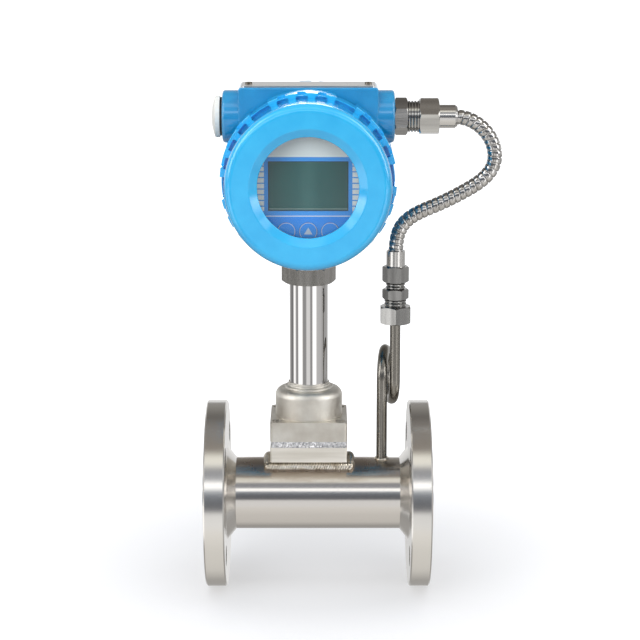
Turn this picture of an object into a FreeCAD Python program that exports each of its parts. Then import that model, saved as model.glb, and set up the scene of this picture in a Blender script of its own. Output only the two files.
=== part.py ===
"""Vortex flow meter, DN 50, with a pressure tap, a coiled siphon and a display head.

Millimetres. The origin is the centre of the inlet flange's raised face, +X runs
with the flow, +Z up the stem to the head, and the display looks along -Y.
"""
import FreeCAD, Part
import math
import os
from FreeCAD import Vector

# Fits shared by the whole meter
FIT = 0.1                  # radial clearance of fixed pieces in their seats
RUNNING = 0.3              # radial clearance of screwed pieces that turn

# Process line
FACE_TO_FACE = 200.0
FLANGE_OD = 165.0
FLANGE_RIM = 18.0
RAISED_FACE_OD = 102.0
RAISED_FACE = 2.0
BOLT_CIRCLE = 125.0
BOLT_HOLE = 18.0
BOLT_COUNT = 4
RIM_CHAMFER = 1.2
HUB_OD = 83.2
HUB_LENGTH = 8.0
PIPE_OD = 63.4
BORE = 50.0

# Shedder bar and the probe behind it
BAR_WIDTH = 14.0
BAR_TAIL_WIDTH = 6.5
BAR_LENGTH = 17.0
BAR_TO_PROBE = 33.0
PADDLE_WIDTH = 10.0
PADDLE_THICKNESS = 2.4
PADDLE_DEPTH = 33.0
PROBE_NECK_OD = 21.2
PROBE_HEAD_OD = 32.0
PROBE_HEAD = 5.0
PROBE_TOP_OD = 14.0
PROBE_TOP = 10.0
PROBE_NECK_RAISE = 2.0
PROBE_NECK_CHAMFER = 3.0
PROBE_EDGE = 0.5
PROBE_GASKET = 1.5
GASKET_BAND = 4.0

# Square seat on the pipe
STEM_X = 92.0
SEAT_WIDTH = 67.0
SEAT_DEPTH = 64.0
SEAT_TOP = 49.9
SEAT_PLATE = 13.0
SEAT_FOOT_DEPTH = 28.0
SEAT_EDGE = 1.5
WELD_BEAD_R = 4.0
WELD_OUTSET = 2.2
WELD_RIDE = 1.8
WELD_SIDE_OUTSET = 3.0
SEAM_HEIGHT = 5.4
SEAM_INSET = 0.4
SEAM_BORE = 40.0

# Cast bonnet, its screws and the stem
BONNET_PLATE = 17.0
BONNET_PLATE_EDGE = 3.0
DOME_OD = 58.5
DOME_HEIGHT = 24.1
DOME_SHOULDER_R = 6.5
DOME_WALL = 8.0
STEP_OD = 41.5
STEP_HEIGHT = 2.6
NECK_OD = 36.0
NECK_HEIGHT = 3.4
NECK_EDGE = 0.5
SCREW_D = 5.0
SCREW_HEAD_D = 8.4
SCREW_HEAD = 5.0
SCREW_HEAD_EDGE = 0.5
SCREW_SOCKET = 4.0
SCREW_REACH = 7.0
SCREW_X = 27.3
SCREW_Y = 25.0
SCREW_RECESS = 7.0
STEM_OD = 33.6
STEM_WALL = 2.6
STEM_LENGTH = 95.5
STEM_SOCKET = 7.0
HEX_AF = 41.0
HEX_HEIGHT = 15.5
HEX_TURN = 4.5
NIPPLE_OD = 29.6
NIPPLE_LENGTH = 15.0
LEAD_D = 5.0

# Display head
HEAD_RISE = 80.0
BARREL_WAIST_OD = 128.0
BARREL_END_OD = 142.0
BARREL_END = 7.0
BARREL_LENGTH = 45.4
BARREL_EDGE = 1.0
BARREL_END_FILLET = 2.0
BARREL_WAIST_FILLET = 3.0
COLLAR_OD = 132.0
COLLAR_REACH = 27.3
COMPARTMENT_OD = 114.0
BULKHEAD = 6.0
BULKHEAD_Y = -18.0
BLOCK_WIDTH = 119.0
BLOCK_TOP = 75.6
BLOCK_EDGE = 3.0
BLOCK_FACE_EDGE = 1.4
ENTRY_RISE = 48.8
ENTRY_OD = 45.0
ENTRY_SPAN = 147.0
ENTRY_EDGE = 2.5
ENTRY_BORE = 18.6
NECK_SOCKET_OD = 44.0
NECK_SOCKET_EDGE = 1.5
FEED_HOLE = 18.0

# Screwed covers
COVER_GAP = 1.0
COVER_OD = 138.8
COVER_FRONT = 90.0
COVER_REAR = 64.0
COVER_EDGE = 6.5
COVER_WALL = 7.0
COVER_ROOM_R = 4.0
COVER_INNER_EDGE = 1.0
GRIP_RISE = 5.1
GRIP_WIDTH = 26.3
GRIP_SECTORS = 6
GRIP_LAND_ANGLE = 14.6
GRIP_LAND_DEPTH = 1.7
GRIP_PHASE = -4.3
GRIP_PITCH = 13.3
GRIP_EDGE = 0.8
NOTCH_STEPS = (-1, 0, 1)
TOOTH_STEPS = (-1.5, -0.5, 0.5, 1.5)
NOTCH_OUTER = 8.6
NOTCH_INNER = 6.0
NOTCH_DEPTH = 2.0
NOTCH_LENGTH = 11.0
GROOVE_WIDTH = 2.6
GROOVE_DEPTH = 4.5
TOOTH_ROOT = 7.4
TOOTH_TIP = 5.6
TOOTH_BITE = 0.5
APERTURE_D = 84.0
BEVEL_WIDTH = 7.0
BEVEL_DEPTH = 4.2
BEVEL_INNER_EDGE = 0.8
BEVEL_OUTER_EDGE = 1.6
LIP = 5.5
GLASS_SEAT = 5.0
GLASS = 8.0
WINDOW_GASKET = 0.8
RETAINER_SEAT = 4.0
RETAINER_CLEAR = 1.5
RETAINER = 5.0
SPANNER_SLOT = 5.0
SPANNER_SLOT_DEPTH = 2.0
WINDOW_BOSS_WALL = 5.5
WINDOW_BOSS_EDGE = 3.0
REAR_PAD_OD = 98.0
REAR_PAD = 1.5
REAR_PAD_EDGE = 1.0
SEAL_BAND = 2.0
SEAL_WIDTH = 2.4
SEAL_EDGE = 0.4

# Display stack
PANEL_OD = 108.0
PANEL = 1.5
PANEL_Y = -64.0
LCD_WIDTH = 66.8
LCD_HEIGHT = 41.7
LCD_DROP = 1.4
LCD_RECESS = 1.0
LCD_BORDER = 2.5
KEY_D = 15.0
KEY_PITCH = 18.3
KEY_DROP = 39.4
KEY_PROUD = 0.6
KEY_TRAVEL = 0.5
KEY_RIM = 1.0
KEY_EDGE = 0.4
KEY_STEM_D = 4.0
SWITCH_SIDE = 6.0
SWITCH_HEIGHT = 2.2
BOARD = 1.6
DISPLAY_BOARD_Y = -53.6
MAIN_BOARD_Y = -26.0
BOARD_OD = 104.0
PILLAR_OD = 6.0
PILLAR_CIRCLE = 90.0
PANEL_POST_CIRCLE = 100.0
BOARD_SCREW_HEAD_D = 5.6
BOARD_SCREW_HEAD = 2.0
BOARD_SCREW_SLOT = 0.8
CHIP_HEIGHT = 2.0
CHIPS = (                  # across and up from the middle, width, height
    (0, 8, 24, 24),
    (-26, -14, 12, 18),
    (24, -16, 16, 10),
    (-22, 22, 10, 10),
)

# Rear compartment and earthing
TERMINAL_WIDTH = 66.0
TERMINAL_HEIGHT = 22.0
TERMINAL_DEPTH = 22.0
TERMINAL_DROP = 8.0
TERMINAL_COUNT = 6
TERMINAL_PITCH = 10.0
TERMINAL_SCREW_D = 6.0
TERMINAL_SCREW_RISE = 14.0
TERMINAL_SCREW_SLOT = 1.0
WIRE_MOUTH_DEPTH = 5.5
EARTH_HEAD_D = 9.0
EARTH_HEAD = 3.5
EARTH_SHANK_D = 4.0
EARTH_REACH = 4.0
EARTH_WASHER_D = 10.0
EARTH_WASHER = 1.0
EARTH_SLOT = 1.2
EARTH_ANGLE = -35.0
LOCK_SCREW_D = 5.0
LOCK_SCREW_DROP = 2.0

# Nameplate
PLATE_LENGTH = 114.0
PLATE_WIDTH = 36.0
PLATE = 1.0
PLATE_CORNER = 4.0
PLATE_SCREW_SPAN = 102.0
PLATE_SCREW_HEAD_D = 6.0
PLATE_SCREW_HEAD = 1.6
PLATE_SCREW_D = 3.0
PLATE_SCREW_REACH = 6.0
PLATE_SCREW_EDGE = 0.8
CROSS_SLOT = 0.8
CROSS_SLOT_LENGTH = 4.0

# Blanking plug on the unused entry
PLUG_OD = 35.6
PLUG_HEAD = 7.0
PLUG_RIM = 4.0
PLUG_GASKET = 2.1
PLUG_GASKET_OD = 33.0
PLUG_SHANK = 14.0
PLUG_EDGE = 1.0

# Cable gland on the used entry
GLAND_HEX_AF = 28.0
GLAND_HEX = 11.2
GLAND_THREAD_D = 27.0
GLAND_THREAD = 18.0
GLAND_SPIGOT = 12.0
THREAD_PITCH = 2.5
THREAD_DEPTH = 1.1
CREST_START = 0.35          # as shares of the pitch
CREST_END = 0.65
NUT_CHAMFER_ANGLE = 30.0
GLAND_NUT_AF = 29.6
GLAND_NUT_TURN = 18.0
GLAND_NUT = 17.0
GLAND_SHOW = 9.8
SLEEVE_OD = 20.0
SLEEVE_SHOW = 15.7
SLEEVE_TUCK = 6.0
SLEEVE_CHAMFER = 2.0
SLEEVE_CHAMFER_RADIAL = 1.5

# Flexible conduit and the stack that it runs down to
HOSE_D = 13.0
HOSE_BORE = 9.0
HOSE_MOUTH = 1.4
STACK_X = 167.5
LOW_NUT_BASE = 154.6
LOW_NUT_AF = 26.0
LOW_NUT = 15.0
LOW_NUT_FLOOR = 5.5
LOWER_THREAD_D = 19.4
LOWER_THREAD_SHOW = 6.4
BODY_HEX_AF = 20.0
BODY_HEX = 9.0
UPPER_THREAD_D = 16.8
UPPER_THREAD_SHOW = 6.0
TOP_NUT_AF = 20.2
TOP_NUT = 14.0
LOW_SLEEVE_OD = 16.4
LOW_SLEEVE_SHOW = 13.5
LOW_SLEEVE_TUCK = 6.0
SENSOR_BORE = 5.0
LOW_NUT_TURN = 30.0
BODY_HEX_TURN = -5.0
TOP_NUT_TURN = -7.5

# Pressure tap and siphon
TAP_X = 156.2
SIPHON_OD = 9.3
SIPHON_BORE = 6.0
LOOP_R = 22.0
LOOP_Z = 103.0
SIPHON_TUCK = 2.0
TAP_WELD_R = 1.2

# Route of the conduit's middle line, from the gland sleeve to the sensor sleeve
HOSE_ROUTE = [
    (210.0, 335.2),
    (224.0, 335.2),
    (238.5, 328.2),
    (248.5, 316.5),
    (252.6, 303.0),
    (250.5, 290.5),
    (241.0, 279.5),
    (225.5, 270.0),
    (206.0, 260.0),
    (184.0, 251.0),
    (172.5, 241.5),
    (167.5, 228.0),
    (167.5, 214.0),
]
ARC_SHARE = 0.45

# Places that follow from the sizes above
EPS = 1.0                  # how far a cutting tool runs past the face it cuts
SAME_PLACE = 1e-6          # points nearer than this are one
PIPE_R = PIPE_OD / 2
BORE_R = BORE / 2
MID_X = FACE_TO_FACE / 2
RIM_BACK = RAISED_FACE + FLANGE_RIM
HUB_END = RIM_BACK + HUB_LENGTH
SEAT_BASE = SEAT_TOP - SEAT_PLATE
SEAM_TOP = SEAT_TOP + SEAM_HEIGHT
PLATE_TOP = SEAM_TOP + BONNET_PLATE
DOME_TOP = PLATE_TOP + DOME_HEIGHT
STEM_BASE = DOME_TOP + STEP_HEIGHT + NECK_HEIGHT
STEM_TOP = STEM_BASE + STEM_LENGTH
HEX_BASE = STEM_TOP - STEM_SOCKET
HEX_TOP = HEX_BASE + HEX_HEIGHT
PROBE_SEAT = SEAT_TOP - PROBE_HEAD - PROBE_GASKET
NIPPLE_TOP = HEX_TOP + NIPPLE_LENGTH
HEAD_Z = HEX_TOP + HEAD_RISE
HALF_BARREL = BARREL_LENGTH / 2
COLLAR_END = HALF_BARREL + COLLAR_REACH
GRIP_BACK = HALF_BARREL + COVER_GAP
GRIP_FRONT = GRIP_BACK + GRIP_WIDTH
GRIP_OD = COVER_OD + 2 * GRIP_RISE
ENTRY_Z = HEAD_Z + ENTRY_RISE
ENTRY_R = ENTRY_OD / 2
ENTRY_LEFT = STEM_X - ENTRY_SPAN / 2
ENTRY_RIGHT = STEM_X + ENTRY_SPAN / 2
BLOCK_TOP_Z = HEAD_Z + BLOCK_TOP
BEVEL_OD = APERTURE_D + 2 * BEVEL_WIDTH
GLASS_OD = APERTURE_D + 2 * GLASS_SEAT
RETAINER_OD = GLASS_OD + 2 * RETAINER_SEAT
RETAINER_BORE = APERTURE_D + 2 * RETAINER_CLEAR
WINDOW_BOSS_OD = RETAINER_OD + 2 * WINDOW_BOSS_WALL
LIP_BACK = COVER_FRONT - LIP
GLASS_FRONT = LIP_BACK - WINDOW_GASKET
GLASS_BACK = GLASS_FRONT - GLASS
RETAINER_BACK = GLASS_BACK - RETAINER
GLAND_HEX_END = ENTRY_RIGHT + GLAND_HEX
GLAND_NUT_START = GLAND_HEX_END + GLAND_SHOW
GLAND_NUT_END = GLAND_NUT_START + GLAND_NUT
SLEEVE_END = GLAND_NUT_END + SLEEVE_SHOW
LOW_NUT_TOP = LOW_NUT_BASE + LOW_NUT
SIPHON_TOP = LOW_NUT_BASE + LOW_NUT_FLOOR + SIPHON_TUCK
BODY_HEX_BASE = LOW_NUT_TOP + LOWER_THREAD_SHOW
BODY_HEX_TOP = BODY_HEX_BASE + BODY_HEX
TOP_NUT_BASE = BODY_HEX_TOP + UPPER_THREAD_SHOW
TOP_NUT_TOP = TOP_NUT_BASE + TOP_NUT
LOW_SLEEVE_BASE = TOP_NUT_TOP - LOW_SLEEVE_TUCK
LOW_SLEEVE_TOP = TOP_NUT_TOP + LOW_SLEEVE_SHOW
PANEL_BACK = PANEL_Y + PANEL
LCD_Z = HEAD_Z - LCD_DROP
KEY_Z = HEAD_Z - KEY_DROP
UP = Vector(0, 0, 1)
ALONG_X = Vector(1, 0, 0)
ALONG_Y = Vector(0, 1, 0)


def rod_x(diameter, start, end, y=0.0, z=0.0):
    """A round bar along X."""
    return Part.makeCylinder(diameter / 2, end - start, Vector(start, y, z), ALONG_X)


def rod_y(diameter, start, end, x, z):
    """A round bar along Y."""
    return Part.makeCylinder(diameter / 2, end - start, Vector(x, start, z), ALONG_Y)


def rod_z(diameter, bottom, top, x, y=0.0):
    """A round bar along Z."""
    return Part.makeCylinder(diameter / 2, top - bottom, Vector(x, y, bottom), UP)


def block(x_span, y_span, z_span):
    """A rectangular solid between two limits on each axis."""
    corner = Vector(x_span[0], y_span[0], z_span[0])
    sizes = [span[1] - span[0] for span in (x_span, y_span, z_span)]
    return Part.makeBox(sizes[0], sizes[1], sizes[2], corner)


def around(middle, size):
    """The two limits of a size centred on a place."""
    return (middle - size / 2, middle + size / 2)


def rounded_wire(points, place):
    """A closed outline of (u, v) or (u, v, radius) corners, rounded by tangent arcs."""
    corners = [(p[0], p[1], p[2] if len(p) > 2 else 0.0) for p in points]
    ends = []
    for i, (u, v, radius) in enumerate(corners):
        here = Vector(u, v, 0)
        before = Vector(*corners[i - 1][:2], 0) - here
        after = Vector(*corners[(i + 1) % len(corners)][:2], 0) - here
        if radius <= 0:
            ends.append((here, None, here))
            continue
        before.normalize()
        after.normalize()
        half = before.getAngle(after) / 2
        reach = radius / math.tan(half)
        inward = before + after
        inward.normalize()
        crest = here + inward * (radius / math.sin(half) - radius)
        ends.append((here + before * reach, crest, here + after * reach))
    edges = []
    for i, (start, crest, end) in enumerate(ends):
        if crest is not None:
            edges.append(Part.Arc(place(start), place(crest), place(end)).toShape())
        following = ends[(i + 1) % len(ends)][0]
        if (following - end).Length > SAME_PLACE:
            edges.append(Part.LineSegment(place(end), place(following)).toShape())
    return Part.Wire(edges)


def turned_x(points, y=0.0, z=0.0):
    """A turned piece about a line along X, from (radius, x) corners."""
    face = Part.Face(rounded_wire(points, lambda p: Vector(p.y, y, z + p.x)))
    return face.revolve(Vector(0, y, z), ALONG_X, 360)


def turned_y(points, x, z):
    """A turned piece about a line along Y, from (radius, y) corners."""
    face = Part.Face(rounded_wire(points, lambda p: Vector(x + p.x, p.y, z)))
    return face.revolve(Vector(x, 0, z), ALONG_Y, 360)


def turned_z(points, x, y=0.0):
    """A turned piece about a line along Z, from (radius, z) corners."""
    face = Part.Face(rounded_wire(points, lambda p: Vector(x + p.x, y, p.y)))
    return face.revolve(Vector(x, y, 0), UP, 360)


def rounded_block(x_span, y_span, z_span, radius):
    """An upright rectangular solid with rounded vertical edges."""
    points = [(x, y, radius) for x, y in (
        (x_span[0], y_span[0]), (x_span[1], y_span[0]),
        (x_span[1], y_span[1]), (x_span[0], y_span[1]))]
    face = Part.Face(rounded_wire(points, lambda p: Vector(p.x, p.y, z_span[0])))
    return face.extrude(UP * (z_span[1] - z_span[0]))


def hexagon(across_flats, length, turn):
    """A hexagonal bar along Z from the origin, its ends chamfered as nuts are."""
    corner_r = across_flats / math.sqrt(3)
    corners = []
    for i in range(6):
        angle = math.radians(60 * i + turn)
        corners.append(Vector(corner_r * math.cos(angle), corner_r * math.sin(angle), 0))
    bar = Part.Face(Part.makePolygon(corners + corners[:1])).extrude(UP * length)
    flat_r = across_flats / 2
    cut_back = (corner_r - flat_r) * math.tan(math.radians(NUT_CHAMFER_ANGLE))
    envelope = turned_z([(0, 0), (flat_r, 0), (corner_r, cut_back),
                         (corner_r, length - cut_back), (flat_r, length), (0, length)], 0)
    return bar.common(envelope)


def hex_z(across_flats, bottom, top, x, turn=0.0):
    """A chamfered hexagon standing along Z."""
    bar = hexagon(across_flats, top - bottom, turn)
    bar.translate(Vector(x, 0, bottom))
    return bar


def hex_x(across_flats, start, end, z, turn=0.0):
    """A chamfered hexagon lying along X."""
    bar = hexagon(across_flats, end - start, turn)
    bar.rotate(Vector(0, 0, 0), ALONG_Y, 90)
    bar.translate(Vector(start, 0, z))
    return bar


def crest_points(diameter, start, end):
    """Corners of a thread's crests and roots, as (radius, place) from start to end."""
    count = int((end - start) / THREAD_PITCH)
    pitch = (end - start) / count
    outer = diameter / 2
    root = outer - THREAD_DEPTH
    points = []
    for i in range(count):
        foot = start + i * pitch
        points += [(root, foot), (outer, foot + CREST_START * pitch),
                   (outer, foot + CREST_END * pitch)]
    points.append((root, end))
    return points


def turned_about(shape, centre, axis, angle):
    """A copy of a shape turned about a line."""
    copy = shape.copy()
    copy.rotate(centre, axis, angle)
    return copy


def save(name, shapes):
    """Write one node, which is a solid or a group of like solids."""
    group = shapes if isinstance(shapes, list) else [shapes]
    solids = []
    for shape in group:
        for solid in shape.removeSplitter().Solids:
            if not solid.isValid():
                raise ValueError(name + " is not a valid solid")
            solids.append(solid)
    body = solids[0] if len(solids) == 1 else Part.makeCompound(solids)
    body.exportStep("parts/" + name + ".step")
    print(name, len(solids), round(sum(solid.Volume for solid in solids)))


def inlet_flange():
    """Weld-neck flange: raised face, drilled rim and a short cone to the pipe."""
    flange = turned_x([
        (BORE_R, 0), (RAISED_FACE_OD / 2, 0), (RAISED_FACE_OD / 2, RAISED_FACE),
        (FLANGE_OD / 2 - RIM_CHAMFER, RAISED_FACE),
        (FLANGE_OD / 2, RAISED_FACE + RIM_CHAMFER),
        (FLANGE_OD / 2, RIM_BACK - RIM_CHAMFER),
        (FLANGE_OD / 2 - RIM_CHAMFER, RIM_BACK),
        (HUB_OD / 2, RIM_BACK, RIM_CHAMFER), (PIPE_R, HUB_END), (BORE_R, HUB_END)])
    for i in range(BOLT_COUNT):
        angle = math.radians(360 / BOLT_COUNT * (i + 0.5))
        flange = flange.cut(rod_x(BOLT_HOLE, -EPS, RIM_BACK + EPS,
                                  BOLT_CIRCLE / 2 * math.cos(angle),
                                  BOLT_CIRCLE / 2 * math.sin(angle)))
    return flange


def meter_tube():
    """The straight tube between the hubs, opened at the top for probe and tap."""
    tube = rod_x(PIPE_OD, HUB_END, FACE_TO_FACE - HUB_END)
    tube = tube.cut(rod_x(BORE, HUB_END - EPS, FACE_TO_FACE - HUB_END + EPS))
    tube = tube.cut(rod_z(PROBE_NECK_OD + 2 * FIT, 0, PIPE_OD, STEM_X))
    return tube.cut(rod_z(SIPHON_BORE, 0, PIPE_OD, TAP_X))


def shedder_bar():
    """The bluff bar across the bore: wide upstream face, tapering downstream."""
    nose = STEM_X - BAR_TO_PROBE
    outline = [(nose, -BAR_WIDTH / 2), (nose + BAR_LENGTH / 8, -BAR_WIDTH / 2),
               (nose + BAR_LENGTH, -BAR_TAIL_WIDTH / 2),
               (nose + BAR_LENGTH, BAR_TAIL_WIDTH / 2),
               (nose + BAR_LENGTH / 8, BAR_WIDTH / 2), (nose, BAR_WIDTH / 2)]
    face = Part.Face(rounded_wire(outline, lambda p: Vector(p.x, p.y, -BORE_R)))
    bore = rod_x(BORE, HUB_END, FACE_TO_FACE - HUB_END)
    return face.extrude(UP * BORE).common(bore)


def sensor_boss():
    """Square welded seat: a plate over the pipe on a foot that is saddled to it."""
    x_span = around(STEM_X, SEAT_WIDTH)
    boss = rounded_block(x_span, around(0, SEAT_DEPTH), (SEAT_BASE, SEAT_TOP), SEAT_EDGE)
    boss = boss.fuse(block(x_span, around(0, SEAT_FOOT_DEPTH), (0, SEAT_BASE)))
    boss = boss.cut(rod_x(PIPE_OD, 0, FACE_TO_FACE))
    boss = boss.cut(block(x_span, around(0, SEAT_FOOT_DEPTH), (-PIPE_R, 0)))
    boss = boss.cut(rod_z(PROBE_NECK_OD + 2 * FIT, 0, PROBE_SEAT + EPS, STEM_X))
    boss = boss.cut(rod_z(PROBE_HEAD_OD + 2 * FIT, PROBE_SEAT, SEAT_TOP + EPS, STEM_X))
    for x, y in screw_places():
        boss = boss.cut(rod_z(SCREW_D + 2 * FIT, SEAT_TOP - SCREW_REACH, SEAT_TOP + EPS, x, y))
    return boss


def screw_places():
    """Where the four bonnet screws stand."""
    return [(STEM_X + i * SCREW_X, j * SCREW_Y) for i in (-1, 1) for j in (-1, 1)]


def boss_weld():
    """One bead round the foot: straight along its long sides, over the pipe at its ends."""
    ride_r = PIPE_R + WELD_RIDE
    bead_y = SEAT_FOOT_DEPTH / 2 + WELD_SIDE_OUTSET
    bead_z = math.sqrt(ride_r ** 2 - bead_y ** 2)
    half = SEAT_WIDTH / 2 + WELD_OUTSET
    sweep = 2 * math.degrees(math.asin(bead_y / ride_r))
    pieces = []
    for side in (-1, 1):
        pieces.append(rod_x(2 * WELD_BEAD_R, STEM_X - half, STEM_X + half, side * bead_y, bead_z))
        section = Part.Wire(Part.makeCircle(WELD_BEAD_R, Vector(STEM_X + side * half, 0, ride_r),
                                            ALONG_Y))
        arch = Part.Face(section).revolve(Vector(0, 0, 0), ALONG_X, sweep)
        pieces.append(turned_about(arch, Vector(0, 0, 0), ALONG_X, -sweep / 2))
        for end in (-1, 1):
            pieces.append(Part.makeSphere(WELD_BEAD_R,
                                          Vector(STEM_X + end * half, side * bead_y, bead_z)))
    bead = pieces[0].multiFuse(pieces[1:])
    bead = bead.cut(rod_x(PIPE_OD, 0, FACE_TO_FACE))
    bead = bead.cut(block(around(STEM_X, SEAT_WIDTH), around(0, SEAT_FOOT_DEPTH),
                          (0, SEAT_TOP)))
    return bead.cut(block(around(STEM_X, SEAT_WIDTH), around(0, SEAT_DEPTH),
                          (SEAT_BASE, SEAT_TOP)))


def bonnet_weld():
    """The seam that closes the joint between seat and bonnet."""
    seam = rounded_block(around(STEM_X, SEAT_WIDTH - 2 * SEAM_INSET),
                         around(0, SEAT_DEPTH - 2 * SEAM_INSET),
                         (SEAT_TOP, SEAM_TOP), SEAT_EDGE)
    seam = seam.cut(rod_z(SEAM_BORE, SEAT_TOP - EPS, SEAM_TOP + EPS, STEM_X))
    for x, y in screw_places():
        seam = seam.cut(rod_z(SCREW_D + 2 * FIT, SEAT_TOP - EPS, SEAM_TOP + EPS, x, y))
    return seam


def sensor_bonnet():
    """Cast bonnet: square screwed plate, round dome, a step and a neck for the stem."""
    plate = rounded_block(around(STEM_X, SEAT_WIDTH), around(0, SEAT_DEPTH),
                          (SEAM_TOP, PLATE_TOP), BONNET_PLATE_EDGE)
    step_top = DOME_TOP + STEP_HEIGHT
    dome = turned_z([
        (0, SEAM_TOP), (DOME_OD / 2, SEAM_TOP),
        (DOME_OD / 2, DOME_TOP, DOME_SHOULDER_R),
        (STEP_OD / 2, DOME_TOP + STEP_HEIGHT / 3, STEP_HEIGHT / 4),
        (STEP_OD / 2, step_top, STEP_HEIGHT / 4),
        (NECK_OD / 2, step_top, STEP_HEIGHT / 3), (NECK_OD / 2, STEM_BASE, NECK_EDGE),
        (0, STEM_BASE)], STEM_X)
    bonnet = plate.fuse(dome)
    cavity = turned_z([
        (0, SEAM_TOP - EPS), (SEAM_BORE / 2, SEAM_TOP - EPS),
        (DOME_OD / 2 - DOME_WALL, DOME_TOP - DOME_WALL, DOME_SHOULDER_R / 2),
        (STEM_OD / 2 - STEM_WALL, DOME_TOP), (STEM_OD / 2 - STEM_WALL, STEM_BASE + EPS),
        (0, STEM_BASE + EPS)], STEM_X)
    bonnet = bonnet.cut(cavity)
    for x, y in screw_places():
        bonnet = bonnet.cut(rod_z(SCREW_D + 2 * FIT, SEAM_TOP - EPS, PLATE_TOP, x, y))
        bonnet = bonnet.cut(rod_z(SCREW_HEAD_D + 4 * FIT, PLATE_TOP - SCREW_RECESS,
                                  PLATE_TOP + EPS, x, y))
    return bonnet


def bonnet_screws():
    """Four socket head screws sunk in the plate's corners."""
    seat = PLATE_TOP - SCREW_RECESS
    screws = []
    for x, y in screw_places():
        screw = rod_z(SCREW_D, SEAT_TOP - SCREW_REACH, seat, x, y)
        head = turned_z([(0, seat), (SCREW_HEAD_D / 2, seat),
                         (SCREW_HEAD_D / 2, seat + SCREW_HEAD, SCREW_HEAD_EDGE),
                         (0, seat + SCREW_HEAD)], x, y)
        socket = hexagon(SCREW_SOCKET, SCREW_HEAD, 0)
        socket.translate(Vector(x, y, seat + SCREW_HEAD / 2))
        screws.append(screw.fuse(head).cut(socket))
    return screws


def probe_gasket():
    """Flat ring under the probe's head."""
    top = PROBE_SEAT + PROBE_GASKET
    ring = rod_z(PROBE_HEAD_OD, PROBE_SEAT, top, STEM_X)
    return ring.cut(rod_z(PROBE_HEAD_OD - 2 * GASKET_BAND, PROBE_SEAT - EPS, top + EPS, STEM_X))


def vortex_probe():
    """Sensing probe: a clamped head, a neck through the wall and a paddle in the flow."""
    head_base = PROBE_SEAT + PROBE_GASKET
    neck_base = BORE_R + PROBE_NECK_RAISE
    neck_r = PROBE_NECK_OD / 2
    top_r = PROBE_TOP_OD / 2
    probe = turned_z([
        (0, neck_base), (neck_r - PROBE_NECK_CHAMFER, neck_base),
        (neck_r, neck_base + PROBE_NECK_CHAMFER), (neck_r, head_base),
        (PROBE_HEAD_OD / 2, head_base), (PROBE_HEAD_OD / 2, SEAT_TOP, PROBE_EDGE),
        (top_r, SEAT_TOP, PROBE_EDGE), (top_r, SEAT_TOP + PROBE_TOP, PROBE_EDGE),
        (0, SEAT_TOP + PROBE_TOP)], STEM_X)
    paddle = block(around(STEM_X, PADDLE_WIDTH), around(0, PADDLE_THICKNESS),
                   (neck_base - PADDLE_DEPTH, neck_base + EPS))
    return probe.fuse(paddle)


def stem_tube():
    """Polished tube that holds the head clear of a hot line."""
    tube = rod_z(STEM_OD, STEM_BASE, STEM_TOP, STEM_X)
    return tube.cut(rod_z(STEM_OD - 2 * STEM_WALL, STEM_BASE - EPS, STEM_TOP + EPS, STEM_X))


def stem_hex():
    """Hexagon with a socket for the stem below and a threaded nipple above."""
    union = hex_z(HEX_AF, HEX_BASE, HEX_TOP, STEM_X, HEX_TURN)
    union = union.fuse(rod_z(NIPPLE_OD, HEX_TOP - EPS, NIPPLE_TOP, STEM_X))
    union = union.cut(rod_z(STEM_OD + 2 * FIT, HEX_BASE - EPS, STEM_TOP, STEM_X))
    return union.cut(rod_z(FEED_HOLE, STEM_TOP - EPS, NIPPLE_TOP + EPS, STEM_X))


def terminal_base():
    """Height of the terminal block's underside, where the probe's lead ends."""
    return HEAD_Z - TERMINAL_DROP - TERMINAL_HEIGHT / 2


def sensor_lead():
    """The probe's lead, held straight up the stem to the terminal block."""
    return rod_z(LEAD_D, SEAT_TOP + PROBE_TOP, terminal_base(), STEM_X)


def barrel():
    """The turned body: end flanges, a narrower waist and a threaded collar each side."""
    end_in = HALF_BARREL - BARREL_END
    waist_end = end_in - BARREL_WAIST_FILLET
    collar_r = COLLAR_OD / 2
    end_r = BARREL_END_OD / 2
    waist_r = BARREL_WAIST_OD / 2
    return turned_y([
        (0, -COLLAR_END), (collar_r, -COLLAR_END, BARREL_EDGE), (collar_r, -HALF_BARREL),
        (end_r, -HALF_BARREL, BARREL_EDGE), (end_r, -end_in, BARREL_END_FILLET),
        (waist_r, -waist_end, BARREL_WAIST_FILLET), (waist_r, waist_end, BARREL_WAIST_FILLET),
        (end_r, end_in, BARREL_END_FILLET), (end_r, HALF_BARREL, BARREL_EDGE),
        (collar_r, HALF_BARREL), (collar_r, COLLAR_END, BARREL_EDGE), (0, COLLAR_END)],
        STEM_X, HEAD_Z)


def face_edges(solid, axis):
    """The edges that lie wholly in a solid's two end faces across an axis."""
    box = solid.BoundBox
    ends = ((box.XMin, box.XMax), (box.YMin, box.YMax), (box.ZMin, box.ZMax))[axis]
    edges = []
    for edge in solid.Edges:
        places = [vertex.Point[axis] for vertex in edge.Vertexes]
        if any(max(abs(place - end) for place in places) < SAME_PLACE for end in ends):
            edges.append(edge)
    return edges


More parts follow.
